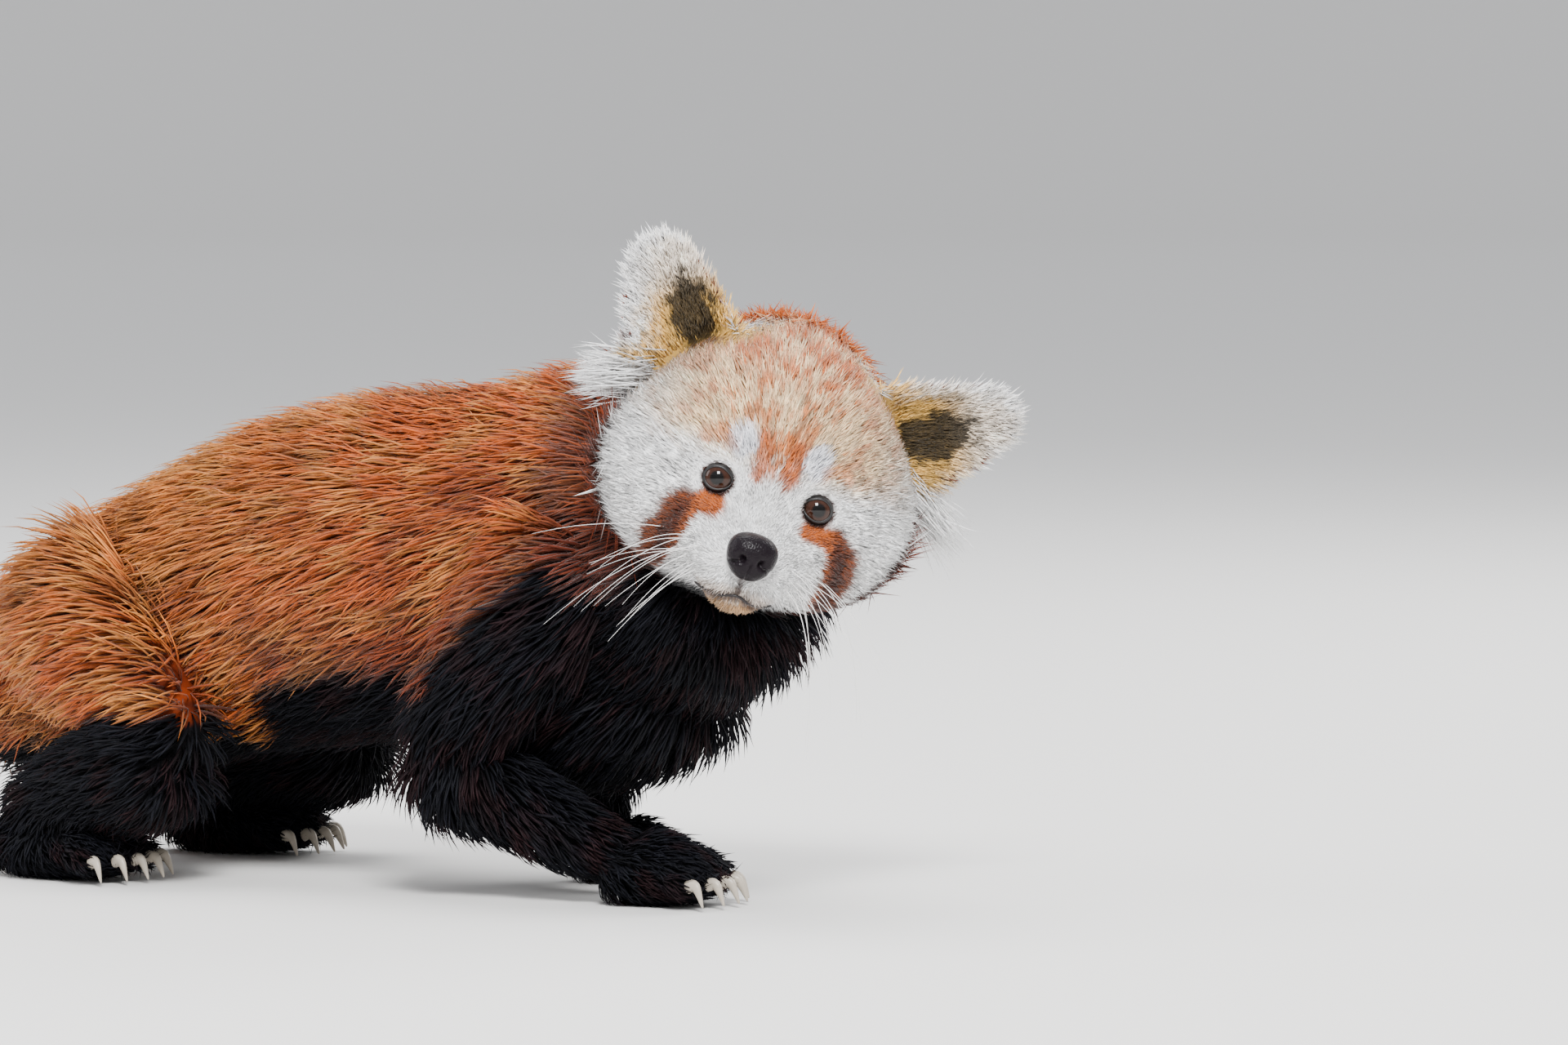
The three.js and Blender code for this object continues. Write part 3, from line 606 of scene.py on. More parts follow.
def face_colour(h):
    """The face's markings in the head's axes, and painted shade along the mouth: masks made from distances
    to spots and lines.
    """
    x, y, z = h.T
    side = np.abs(y)
    wobble = 5 * (noise(h, 7, 3) - 0.5)
    streaks = 0.65 * noise(h * (0.3, 1, 0.5), 1.5, 5) + 0.35 * noise(h, 9, 6)
    brow = ramp(z + wobble, 6, 20) * ramp(side, 70, 36)
    c = mix(WHITE, CREAM, 0.9 * brow)
    c = mix(c, FLECK, brow * ramp(streaks, 0.46, 0.66) * ramp(z, 2, 34) * 0.8)
    c = mix(c, RUST_TIP, 0.75 * ramp(z + wobble, 36, 60) * ramp(streaks, 0.28, 0.56))
    c = mix(c, DUSTY, 0.45 * ramp(streaks, 0.45, 0.7) * ramp(z, 2, 12) * ramp(side, 26, 40))
    middle = ramp(side + 0.6 * wobble, 15, 6) * ramp(z, 2, 11) * ramp(z, 46, 24)
    c = mix(c, FLECK, 0.9 * middle * ramp(streaks, 0.3, 0.56))
    stripe = near_line(side, z, [(7, 6), (6.5, 14), (8, 22)])
    c = mix(c, EYE_RUST, 0.85 * ramp(stripe + 0.5 * wobble, 5.0, 2.0))
    spot = np.hypot((side - 17) / 6.5, (z - 19) / 8)
    c = mix(c, BROW_SPOT, ramp(spot + 0.05 * wobble, 1.2, 0.7))
    c = mix(c, FLECK, 0.5 * ramp(near_line(side, z, [(22, 16), (27, 19), (33, 15)]) + 0.5 * wobble, 4, 1))
    c = mix(c, WHITE, ramp(side, 24, 17) * ramp(z, 2, -4))
    inward = np.where(y < 0, 3.5, 0) * ramp(side, 24, 32)
    tear_line = [(23, -9.5), (32, -11), (38, -17), (40.5, -27), (39, -41)]
    patch = near_line(side + inward, z + 0.6 * inward, tear_line)
    reach = 5.2 + 2.2 * ramp(side, 30, 37) + np.where(y < 0, 1.2, 0) - 1.5 * ramp(z, -30, -42)
    marked = ramp(patch + 0.6 * wobble, reach + 2, reach - 2)
    dark = ramp(side + inward + 0.6 * wobble, 30, 37) * (0.75 + 0.25 * ramp(patch, 5, 1))
    c = mix(c, mix(EYE_RUST, TEAR, dark), marked)
    rim = np.hypot((side - EYE_SIDE) * 0.95, z)
    c = mix(c, TEAR * 0.6, ramp(rim, 8.2, 6.8))
    c = mix(c, CHIN, ramp(z + 0.4 * wobble, -44, -47) * ramp(x, 40, 55))
    c = mix(c, CHIN, 0.5 * ramp(np.hypot((y + 3) / 26, (z + 44) / 7), 1.1, 0.5) * ramp(x, 52, 64))
    # A dark line along the mouth and down from the nose: the dark lips, with painted shade where the muzzle
    # meets the chin.
    lips = near_line(y + 3, z, [(-18, -44), (-8, -45), (0, -42.5), (8, -45), (18, -44)])
    lips = np.minimum(lips, near_line(y + 3, z, [(0, -33), (0, -43)]))
    c = mix(c, TEAR * 0.6, 0.8 * ramp(lips, 2.2, 0.8) * ramp(x, 55, 66))
    ruff = 9 * ramp(y, 0, 20) * ramp(z, 4, -14)
    edge = x - 8 - ruff + 0.55 * wobble - 8 * ramp(z, 10, -30)
    low = ramp(z, 20, 2)
    c = mix(c, TEAR * 0.8, ramp(edge, 9, 3) * low)
    c = mix(c, RUST, ramp(edge, -4, -11) * low)
    c = mix(c, RUST_TIP, ramp(x, 2, -14) * (1 - low))
    c = mix(c, RUST_TIP * 0.8, ramp(x, -8, -24))
    c = mix(c, BLACK, ramp(z, -44, -52) * ramp(x, 44, 34))
    return c


def ear_colour(h, normal):
    """White rims, a dark patch in a buff hollow in front, and red-brown behind."""
    c = WHITE
    for ear in EARS.values():
        foot, rise, across, face = ear_frame(ear)
        q = h - foot
        high = q @ rise / EAR_HEIGHT
        wide = (q @ across + ear["side"] * ear["point"] * high * EAR_HEIGHT) / (EAR_WIDTH / 2)
        front = ramp(normal @ face, -0.15, 0.25)
        wobble = 0.35 * (noise(h, 4, 9) - 0.5) + 0.5 * (noise(h * (1, 1, 0.4), 1.2, 8) - 0.5)
        lean = wide - ear["patch"]
        core = np.hypot(lean / (0.46 - 0.2 * np.clip(high - 0.3, 0, 1)), (high - 0.34) / 0.4) + wobble
        one = mix(WHITE, BUFF, ramp(core, 2.1, 1.1) * (0.35 + 0.65 * ramp(high, 0.75, 0.35)))
        one = mix(one, BUFF, ramp(high + wobble * 0.3, 0.36, 0.12) * 0.95)
        one = mix(one, EAR_DARK, ramp(core, 1.0, 0.62) * 0.95)
        rear = mix(EAR_BACK, WHITE, ramp(np.maximum(np.abs(wide), high), 0.66, 0.84))
        mine = (np.sign(h[:, 1]) == ear["side"])[:, None]
        c = np.where(mine, mix(rear, one, front), c)
    return c


def coat_colour(points, normal, table):
    """Root and tip colours of the coat at points in the maker's axes, with the columns of the field."""
    column = columns_of(table)
    patches = noise(points * (1, 1.5, 1.5), 26, 1)
    fine = noise(points, 9, 2)
    root = mix(RUST, DEEP, ramp(patches, 0.52, 0.8) * 0.8)
    tip = mix(RUST_TIP, GOLD, ramp(fine, 0.35, 0.75) * 0.75)
    tip = mix(tip, DEEP * 1.6, ramp(patches, 0.55, 0.85) * 0.6)
    x, y, z = points.T
    # Golden tips on the upper rump: partly the rump's own paler tips, partly a painted highlight of rim
    # light along the top.
    rear = ramp(x, -150, -330)
    tip = mix(tip, GOLD, 0.6 * rear * ramp(z, 90, 190))
    collar = ramp(x, -84, -50)
    root, tip = mix(root, MAROON * 0.8, collar), mix(tip, MAROON * 1.25, collar * 0.85)
    # The flank darkens below a slanting line from the throat back to the belly.
    line = np.minimum(106 + np.where(x > -128, 0.79, 0.12) * (x + 128), 158)
    slant = z - line + 26 * (patches - 0.5)
    low = ramp(slant, 8, -20) * ramp(x, -250, -200)
    blend = (1 - column["is_tail"]) * ramp(slant, 34, 8) * ramp(x, -220, -170) * ramp(x, 20, -10)
    root, tip = mix(root, DEEP * 0.8, 0.8 * blend), mix(tip, DEEP * 1.3, 0.7 * blend)
    dark = np.clip(np.maximum(column["dark"], low), 0, 1)
    hip = ramp(z + 16 * (fine - 0.5), 92, 66)
    hind = ramp(x, -225, -245)
    dark = dark * (1 - hind) + hind * ramp(column["dark"], 0.2, 0.8) * hip
    dark = ramp(dark, 0.25, 0.75)
    reddish = mix(BLACK_TIP, MAROON, 0.18 * ramp(fine, 0.5, 0.8))
    root, tip = mix(root, BLACK, dark), mix(tip, reddish, dark)
    ring = column["ring"] / np.maximum(column["is_tail"], 0.05)
    band = ramp(np.sin(2 * np.pi * RINGS_ON_TAIL * ring + 0.5 + 1.2 * (fine - 0.5)), -0.35, 0.35)
    tail_root = mix(RING_DARK * 0.8, RING_PALE * 0.75, band)
    tail_tip = mix(RING_DARK * 1.25, RING_PALE * 1.05, band)
    end = ramp(ring, 0.83, 0.87)
    is_tail = ramp(column["is_tail"], 0.3, 0.7)
    root = mix(root, mix(tail_root, TAIL_TIP * 0.8, end), is_tail)
    tip = mix(tip, mix(tail_tip, TAIL_TIP, end), is_tail)
    h = to_head(points)
    is_head, is_ear = ramp(column["is_head"], 0.35, 0.6), ramp(column["is_ear"], 0.35, 0.65)
    face, ear = face_colour(h), ear_colour(h, normal @ AXES.T)
    root, tip = mix(root, face * 1.1, is_head), mix(tip, face, is_head)
    return mix(root, ear * 1.05, is_ear), mix(tip, ear, is_ear)


# Materials.


def fresh_material(name):
    """A material, its node tree and its Principled shader."""
    material = bpy.data.materials.new(name)
    material.use_nodes = True
    return material, material.node_tree, material.node_tree.nodes["Principled BSDF"]


def set_inputs(node, **values):
    """Sets a node's own values; an underscore in a key stands for a space in the socket's name."""
    for key, value in values.items():
        node.inputs[key.replace("_", " ")].default_value = value
    return node


def add_node(tree, kind, **values):
    """A shader node with values on its sockets."""
    return set_inputs(tree.nodes.new("ShaderNode" + kind), **values)


def add_blend(tree, blend="MIX"):
    """A node that blends two colours."""
    node = add_node(tree, "Mix")
    node.data_type = "RGBA"
    node.blend_type = blend
    return node


def link(tree, *ways):
    """Links an output to an input, for each (node, output, node, input)."""
    for start, out, end, into in ways:
        tree.links.new(start.outputs[out], end.inputs[into])


def painted(tree):
    """The mesh's own colours as a node."""
    colour = add_node(tree, "Attribute")
    colour.attribute_name = "coat"
    return colour


def mottle(tree, shader, scale, dark, light):
    """A Base Color between two colours by a noise on Object coordinates; gives back the coordinates."""
    where = add_node(tree, "TexCoord")
    spots = add_node(tree, "TexNoise", Scale=scale)
    tint = set_inputs(add_blend(tree), A=(*dark, 1), B=(*light, 1))
    link(tree, (where, "Object", spots, "Vector"), (spots, "Fac", tint, "Factor"))
    link(tree, (tint, "Result", shader, "Base Color"))
    return where


def strand_group():
    """Fine grain for hair: a soft noise on Object coordinates, as a brightness and a height."""
    group = bpy.data.node_groups.get("Hair grain")
    if group:
        return group
    group = bpy.data.node_groups.new("Hair grain", "ShaderNodeTree")
    for way, name, kind in (
        *(("INPUT", *pair) for pair in (("Colour", "Color"), ("Scale", "Float"), ("Amount", "Float"))),
        *(("OUTPUT", *pair) for pair in (("Colour", "Color"), ("Normal", "Vector"))),
    ):
        group.interface.new_socket(name, in_out=way, socket_type="NodeSocket" + kind)
    inside, outside = group.nodes.new("NodeGroupInput"), group.nodes.new("NodeGroupOutput")
    where = add_node(group, "TexCoord")
    grain = add_node(group, "TexNoise", Detail=2)
    spread = add_node(group, "MapRange", From_Min=0.3, From_Max=0.7, To_Min=0.62, To_Max=1.18)
    shade = add_blend(group, "MULTIPLY")
    bump = add_node(group, "Bump", Strength=0.3, Distance=0.0004)
    link(group, (where, "Object", grain, "Vector"), (inside, "Scale", grain, "Scale"))
    link(group, (grain, "Fac", spread, "Value"), (spread, "Result", shade, "B"))
    link(group, (inside, "Amount", shade, "Factor"), (inside, "Colour", shade, "A"))
    link(group, (shade, "Result", outside, "Colour"))
    link(group, (grain, "Fac", bump, "Height"), (bump, "Normal", outside, "Normal"))
    return group


def hair_material(name, roughness=0.62, specular=0.22, sheen=0.12, scale=900, amount=0.5):
    """Hair coloured by the mesh's own colours, with fine grain."""
    material, tree, shader = fresh_material(name)
    grain = add_node(tree, "Group")
    grain.node_tree = strand_group()
    set_inputs(grain, Scale=scale, Amount=amount)
    link(tree, (painted(tree), "Color", grain, "Colour"), (grain, "Colour", shader, "Base Color"))
    link(tree, (grain, "Normal", shader, "Normal"))
    set_inputs(shader, Roughness=roughness, Specular_IOR_Level=specular)
    set_inputs(shader, Sheen_Weight=sheen, Sheen_Roughness=0.4)
    return material


# The skin.


def face_folds(h):
    """Moves the head's skin: hollows round the eyes, a brow over each and a dip along the nose bridge."""
    x, y, z = h.T
    side = np.abs(y)
    front = ramp(x, 25, 38)
    r = np.hypot(side - EYE_SIDE, z)
    socket = np.exp(-((r / 5.5) ** 2))
    lids = np.exp(-(((r - 9.5) / 3.5) ** 2))
    brow = np.exp(-(((side - 22) / 13) ** 2) - ((z - 14) / 7) ** 2)
    cheek = np.exp(-(((side - 38) / 14) ** 2) - ((z + 20) / 14) ** 2)
    bridge = np.exp(-((side / 9) ** 2) - ((z - 3) / 10) ** 2)
    chin = np.exp(-((y / 18) ** 2)) * ramp(z, -30, -41) * ramp(x, 46, 62) * ramp(x, 92, 80)
    muzzle = ramp(x, 56, 70) * ramp(x, 96, 84)
    bend = ramp(x, 46, 80)
    x_move = front * (-3 * socket + 2.4 * lids + 1.6 * brow + 2 * cheek + bridge)
    return np.column_stack([x_move, 0.07 * y * muzzle - 3.2 * bend, -8.5 * chin - 3.0 * bend])


def build_skin(voxel):
    """All forms joined, made one closed skin by a voxel remesh, then smoothed and folded."""
    forms = [grid(trunk, 60, 48)[2], grid(breast, 30, 32)[2], grid(skull, 60, 56)[2], grid(tail, 90, 28)[2]]
    forms += [grid(limb(name), 36, 28)[2] for name in LIMBS]
    forms += [grid(form, 20, 18)[2] for foot in FEET.values() for form in foot_forms(foot)]
    forms += [grid(ear_form(ear), 48, 48)[2] for ear in EARS.values()]
    verts, faces = joined([closed_grid(p) for p in forms])
    raw = new_object("skin_forms", place(verts), faces)
    remesh = raw.modifiers.new("One skin", "REMESH")
    remesh.mode = "VOXEL"
    remesh.voxel_size = voxel / 1000
    soften = raw.modifiers.new("Soften", "SMOOTH")
    soften.factor = 0.5
    soften.iterations = 5
    shaped = raw.evaluated_get(bpy.context.evaluated_depsgraph_get())
    mesh = bpy.data.meshes.new_from_object(shaped)
    bpy.data.objects.remove(raw, do_unlink=True)
    thing = put("skin", mesh)
    p = read_points(mesh) * 1000 - SHIFT
    h = to_head(p)
    near = (np.linalg.norm(h - (30, 0, 0), axis=1) < 95)[:, None]
    p = p + np.where(near, face_folds(h) @ AXES, 0)
    p[:, 2] = np.maximum(p[:, 2], SKIN_LOW)
    mesh.vertices.foreach_set("co", place(p).astype(np.float32).ravel())
    mesh.update()
    return thing, p


# What a user may change, and the operators: one for each piece or group of like pieces.


class PandaSizes(bpy.types.PropertyGroup):
    """Sizes of the pieces."""

    voxel: bpy.props.FloatProperty(
        name="Skin step", description="Step of the skin's mesh in mm", default=2.6
    )
    tufts: bpy.props.IntProperty(
        name="Tufts", description="Number of tufts in the whole coat", default=118000
    )
    eye_radius: bpy.props.FloatProperty(
        name="Eye radius", description="Radius of an eyeball in mm", default=8.0
    )
    whisker_length: bpy.props.FloatProperty(
        name="Whisker length", description="Length of the longest whisker in mm", default=74.0
    )


class PandaColours(bpy.types.PropertyGroup):
    """Colours of the bare parts."""

    iris: bpy.props.FloatVectorProperty(
        name="Iris", description="Colour of the iris", subtype="COLOR", default=(0.03, 0.010, 0.005)
    )
    leather: bpy.props.FloatVectorProperty(
        name="Nose", description="Colour of the nose", subtype="COLOR", default=(0.0045, 0.003, 0.0042)
    )
    horn: bpy.props.FloatVectorProperty(
        name="Claws", description="Colour of the claws", subtype="COLOR", default=(0.5, 0.44, 0.36)
    )
    floor: bpy.props.FloatVectorProperty(
        name="Floor", description="Colour of the floor", subtype="COLOR", default=(0.78, 0.77, 0.75)
    )


class PANDA_OT_skin(bpy.types.Operator):
    """Build the skin that stands for the body's solids"""

    bl_idname = "panda.skin"
    bl_label = "Skin"

    def execute(self, context):
        thing, p = build_skin(context.scene.panda_sizes.voxel)
        normal = read_points(thing.data, "vector")
        root, _ = coat_colour(p, normal, field_at(p))
        # The skin is painted at 0.7 of the coat's root colour: painted shade under the tufts.
        paint(thing, root * 0.7)
        thing.data.materials.clear()
        thing.data.polygons.foreach_set("use_smooth", np.ones(len(thing.data.polygons), bool))
        adopt(thing, hair_material("Under coat", 0.8, 0.1, 0.0, 500), "red_coat", *FLESH)
        return {"FINISHED"}


def scatter(thing, count, rng):
    """Tuft roots spread over the skin in proportion to the coat's density, with normals and columns."""
    mesh = thing.data
    mesh.calc_loop_triangles()
    tri = np.empty(len(mesh.loop_triangles) * 3, np.int32)
    mesh.loop_triangles.foreach_get("vertices", tri)
    tri = tri.reshape(-1, 3)
    p = read_points(mesh) * 1000 - SHIFT
    n = read_points(mesh, "vector")
    table = field_at(p)
    corner = p[tri]
    area = np.linalg.norm(np.cross(corner[:, 1] - corner[:, 0], corner[:, 2] - corner[:, 0]), axis=1) / 2
    weight = area * table[tri, COLUMNS.index("density")].mean(1)
    total = np.cumsum(weight)
    pick = np.searchsorted(total, (np.arange(count) + rng.random(count)) / count * total[-1])
    pick = np.minimum(pick, len(tri) - 1)
    a, b = rng.random((2, count))
    flip = a + b > 1
    a, b = np.where(flip, 1 - a, a), np.where(flip, 1 - b, b)
    share = np.stack([1 - a - b, a, b], 1)[..., None]
    return tuple((data[tri[pick]] * share).sum(1) for data in (p, n, table))


# How far along a tuft its rings lie and how wide they are, for two rings or three; how deep its root sits.
RINGS = {2: [0.0, 0.5], 3: [0.0, 0.34, 0.7]}
WIDTHS = {2: [0.7, 1.0], 3: [0.6, 1.0, 0.72]}
ROOT_DEPTH = 1.6


def tuft_mesh(name, fields, cell, colours, rng, rings=3, gather=0.45):
    """Tapered three-sided tufts, computed as whole arrays.

    Along s from 0 to 1 a tuft's middle runs length times s along the lie, and climbs
    height times (1 - (1 - s)^1.8) off the skin. Its tip leans to its clump's mean tip by gather.
    """
    root, normal, lie, length, width, height, curl = fields
    count = len(root)
    side = unit(np.cross(normal, lie))
    jitter = root + 0.45 * cell * (np.stack([noise(root, cell * 1.3, k) for k in (21, 22, 23)], 1) - 0.5)
    key = np.floor(jitter / cell).astype(np.int64) + 4096
    _, clump = np.unique(key @ np.array([1, 8192, 8192**2]), return_inverse=True)
    clump = clump.ravel()
    size = np.bincount(clump)
    centre = np.stack([np.bincount(clump, root[:, k]) / size for k in range(3)], 1)[clump]

    def middle(s):
        rise = height * (1 - (1 - s) ** 1.8) - ROOT_DEPTH * (1 - s) ** 5
        run = root + lie * (length * s)[:, None] + normal * rise[:, None]
        pull = (centre - root) * (gather * s**2)[:, None]
        return run + pull + side * (curl * length * s**2)[:, None]
    last = 3 * rings
    verts = np.empty((count, last + 1, 3))
    for k, (s, w) in enumerate(zip(RINGS[rings], WIDTHS[rings])):
        at = middle(np.full(count, s))
        half = (0.5 * w * width)[:, None]
        verts[:, 3 * k] = at - side * half
        verts[:, 3 * k + 1] = at + side * half
        verts[:, 3 * k + 2] = at + normal * (0.8 * half)
    verts[:, last] = middle(np.ones(count))
    verts[..., 2] = np.maximum(verts[..., 2], TUFT_LOW)
    one = [(0, 2, 1)]
    for k in range(0, last - 3, 3):
        for a, b in ((0, 1), (1, 2), (2, 0)):
            one += [(k + a, k + b, k + b + 3), (k + a, k + b + 3, k + a + 3)]
    one += [(last - 3, last - 2, last), (last - 2, last - 1, last), (last - 1, last - 3, last)]
    faces = (np.array(one)[None] + (last + 1) * np.arange(count)[:, None, None]).reshape(-1, 3)
    thing = new_object(name, place(verts.reshape(-1, 3)), faces)

    tone = (1 + 0.16 * rng.standard_normal(len(size)))[clump]
    tone = np.clip(tone * (1 + 0.1 * rng.standard_normal(count)), 0.55, 1.5)
    low, high = colours
    # Each tuft's root is painted at 0.72 of its colour: painted shade deep in the coat, lightening towards
    # the tip.
    s = np.append(np.repeat(RINGS[rings], 3), 1.0)[None, :, None] ** 1.2
    rgb = (low[:, None] * 0.72 * (1 - s) + high[:, None] * s) * tone[:, None, None]
    paint(thing, np.clip(rgb.reshape(-1, 3), 0, 1))

    sheet = nearest_sheet(root) + 2 * PATCH_STEP * (rng.random((count, 2)) - 0.5)
    offset = np.array([[k % 3 - 1, k // 3 - rings / 2] for k in range(last)] + [[0, rings / 2]])
    uv = (sheet[:, None] + PATCH_STEP * offset[None]).reshape(-1, 2)[faces.ravel()]
    layer = thing.data.uv_layers.new(name="OFBake")
    layer.data.foreach_set("uv", uv.astype(np.float32).ravel())
    return thing


class PANDA_OT_coat(bpy.types.Operator):
    """Cover the skin with tufts that follow the lie of the hair"""

    bl_idname = "panda.coat"
    bl_label = "Coat"

    def execute(self, context):
        rng = np.random.default_rng(SEED)
        root, normal, table = scatter(bpy.data.objects["skin"], context.scene.panda_sizes.tufts, rng)
        normal = unit(normal)
        h = to_head(root)
        near_eye = np.hypot(np.abs(h[:, 1]) - EYE_SIDE, h[:, 2])
        nose = np.linalg.norm((h - NOSE_CLEAR) / NOSE_CLEAR_HALF, axis=1) < 1
        sole = (root[:, 2] < 3) & (normal[:, 2] < -0.5)
        keep = ~(((near_eye < 6.0) & (h[:, 0] > 38)) | nose | sole)
        root, normal, table, h, near_eye = (a[keep] for a in (root, normal, table, h, near_eye))
        column = columns_of(table)
        count = len(root)

        def vary(amount, least, most):
            """Random factors about one, kept between two limits."""
            return (1 + amount * rng.standard_normal(count)).clip(least, most)

        lie = table[:, :3] + 0.12 * rng.standard_normal(root.shape)
        lie = unit(lie - normal * (lie * normal).sum(1, keepdims=True))
        small = 1 - 0.7 * ramp(near_eye, 16, 7) * column["is_head"] * (h[:, 0] > 30)
        length = column["length"] * vary(0.2, 0.55, 1.5) * small
        height = column["height"] * vary(0.25, 0.4, 1.6) * small
        width = column["width"] * vary(0.2, 0.6, 1.5)
        curl = 0.1 * rng.standard_normal(count)
        low, high = coat_colour(root + lie * (0.45 * length)[:, None], normal, table)
        head, black = column["is_head"] > 0.5, high.max(axis=1) < 0.03
        left = np.ones(count, bool)
        # Name, tufts, finish slot, width of a clump, number of pieces and rings to a tuft.
        for label, mask, slot, cell, parts, rings in (
            ("ear", column["is_ear"] > 0.5, "ear_coat", 4.0, 2, 2),
            ("face", head & (h[:, 0] > 24), "face_coat", 3.5, 3, 2),
            ("head", head & (h[:, 0] <= 24), "face_coat", 6.0, 3, 2),
            ("tail", column["is_tail"] > 0.5, "tail_coat", 13.0, 2, 3),
            ("black", black, "dark_coat", 7.0, 4, 3),
            ("red", ~black, "red_coat", 9.5, 4, 3),
        ):
            mine = np.flatnonzero(mask & left)
            left[mine] = False
            gloss = {"specular": 0.1, "sheen": 0.0} if label == "black" else {"specular": 0.2, "sheen": 0.1}
            material = hair_material(f"Hair {label}", **gloss)
            order = mine[np.argsort(root[mine, 0], kind="stable")]
            for k, index in enumerate(np.array_split(order, parts)):
                fields = [a[index] for a in (root, normal, lie, length, width, height, curl)]
                ends = (low[index], high[index])
                thing = tuft_mesh(f"coat_{label}_{k + 1}", fields, cell, ends, rng, rings)
                adopt(thing, material, slot)
        return {"FINISHED"}


class PANDA_OT_ear_tufts(bpy.types.Operator):
    """Build the long white tufts under the ears' outer edges"""

    bl_idname = "panda.ear_tufts"
    bl_label = "Ear tufts"

    def execute(self, context):
        rng = np.random.default_rng(SEED + 2)
        count = 600
        for label, start, end in (
            ("right", (-6, -64, 27), (-12, -95, 15)),
            ("left", (-6, 67, 13), (-12, 101, -9)),
        ):
            start, end = np.array(start, float), np.array(end, float)
            root = start + rng.standard_normal((count, 3)) * (4, 3.5, 4)
            lie = unit(unit(end - start) + 0.13 * rng.standard_normal((count, 3)))
            up = unit(np.cross(lie, np.cross(np.array([0.6, 0, 0.8]), lie)))
            reach = np.linalg.norm(end - start) * rng.uniform(0.45, 0.98, count)
            width = 0.8 * rng.uniform(0.6, 1.3, count)
            height, curl = 2.0 * rng.standard_normal(count), 0.08 * rng.standard_normal(count)
            fields = (from_head(root), up @ AXES, lie @ AXES, reach, width, height, curl)
            white = np.broadcast_to(WHITE, root.shape)
            thing = tuft_mesh(f"ear_tuft_{label}", fields, 9.0, (white, white), rng, gather=0.6)
            adopt(thing, hair_material(f"Ear tuft {label}"), "ear_coat")
        return {"FINISHED"}


def eye_axes(side):
    """An eye's centre and its own axes: outwards through the pupil, sideways and up, in the head's axes."""
    centre = np.array([EYE_FORWARD - 1.4, side * 23.0, 0.0])
    out = unit(np.array([math.cos(0.16), side * math.sin(0.12) - 0.08, 0.12]))
    across = unit(np.array([-out[1], out[0], 0.0]))
    return centre, out, across, np.cross(out, across)


def round_eye(side, angle, forward, r):
    """Points at r from the eye's axis and forward along it."""
    centre, out, across, up = eye_axes(side)
    ring = across * np.cos(angle)[..., None] + up * np.sin(angle)[..., None]
    return from_head(centre + out * forward[..., None] + ring * r[..., None])


def eyeball(side, radius, t, angle):
    """A sphere with its pole at the pupil and a slightly raised cornea."""
    polar = np.pi * np.broadcast_to(t, np.broadcast(t, angle).shape)
    r = radius * (1 + 0.035 * np.exp(-((polar / 0.7) ** 2)))
    return round_eye(side, angle, r * np.cos(polar), r * np.sin(polar))


def eyelid(side, radius, s, angle):
    """The lids: from an oval opening on the eyeball, over a round lip, out under the fur."""
    high, wide = 4.6, 5.4
    corner = np.clip(-side * np.cos(angle), 0, 1) ** 6
    oval = wide * high / np.hypot(high * np.cos(angle), wide * np.sin(angle)) + 1.1 * corner
    r = oval + (2.9 + 0.8 * corner) * s
    on_ball = np.sqrt(np.clip((radius + 0.25) ** 2 - np.minimum(r, 7.6) ** 2, 0, None))
    lip = 0.6 * np.sin(np.pi * np.clip(s * 1.6, 0, 1))
    return round_eye(side, angle, on_ball + lip - 1.5 * np.clip(s - 0.5, 0, 1), r)


class PANDA_OT_eyes(bpy.types.Operator):
    """Build the eyeballs and their dark lids"""

    bl_idname = "panda.eyes"
    bl_label = "Eyes"

    def execute(self, context):
        radius = context.scene.panda_sizes.eye_radius
        iris = np.array(context.scene.panda_colours.iris)
        t, s = np.linspace(0, 1, 49)[:, None], np.linspace(0, 1, 16)[:, None]
        angle = 2 * np.pi * np.arange(64)[None, :] / 64
        for side, label in ((-1, "right"), (1, "left")):
            centre, out = eye_axes(side)[:2]
            verts, faces = closed_grid(eyeball(side, radius, t, angle))
            thing = new_object(f"eyeball_{label}", place(verts), faces)
            polar = np.arccos(np.clip(unit(to_head(verts) - centre) @ out, -1, 1))
            wave = 0.75 + 0.5 * noise(to_head(verts) * (1, 3, 3), 2.0, 4)
            rgb = mix(iris * wave[:, None], PUPIL, ramp(polar, 0.44, 0.34))
            paint(thing, mix(rgb, iris * 0.3, ramp(polar, 0.66, 0.84)))
            material, tree, shader = fresh_material(f"Eye {label}")
            link(tree, (painted(tree), "Color", shader, "Base Color"))
            set_inputs(shader, Roughness=0.4, Specular_IOR_Level=0.0, Coat_Weight=0.7, Coat_Roughness=0.02)
            adopt(thing, material, "eye_surface", f"eye_{label}")

            top = eyelid(side, radius, s, angle)
            shell = np.concatenate([top, (top - 0.9 * (AXES.T @ out))[::-1]])
            faces = np.roll(quads(*shell.shape[:2], True), -1, axis=1)
            thing = new_object(f"eyelids_{label}", place(shell.reshape(-1, 3)), faces)
            edge = np.repeat(np.concatenate([s, s[::-1]]), angle.size)
            paint(thing, mix(LID_EDGE, TEAR * 0.7, ramp(edge, 0.6, 0.95)))
            adopt(thing, hair_material(f"Lids {label}", 0.42, 0.5, 0.0, 1500, 0.3), "nose_leather")
        return {"FINISHED"}


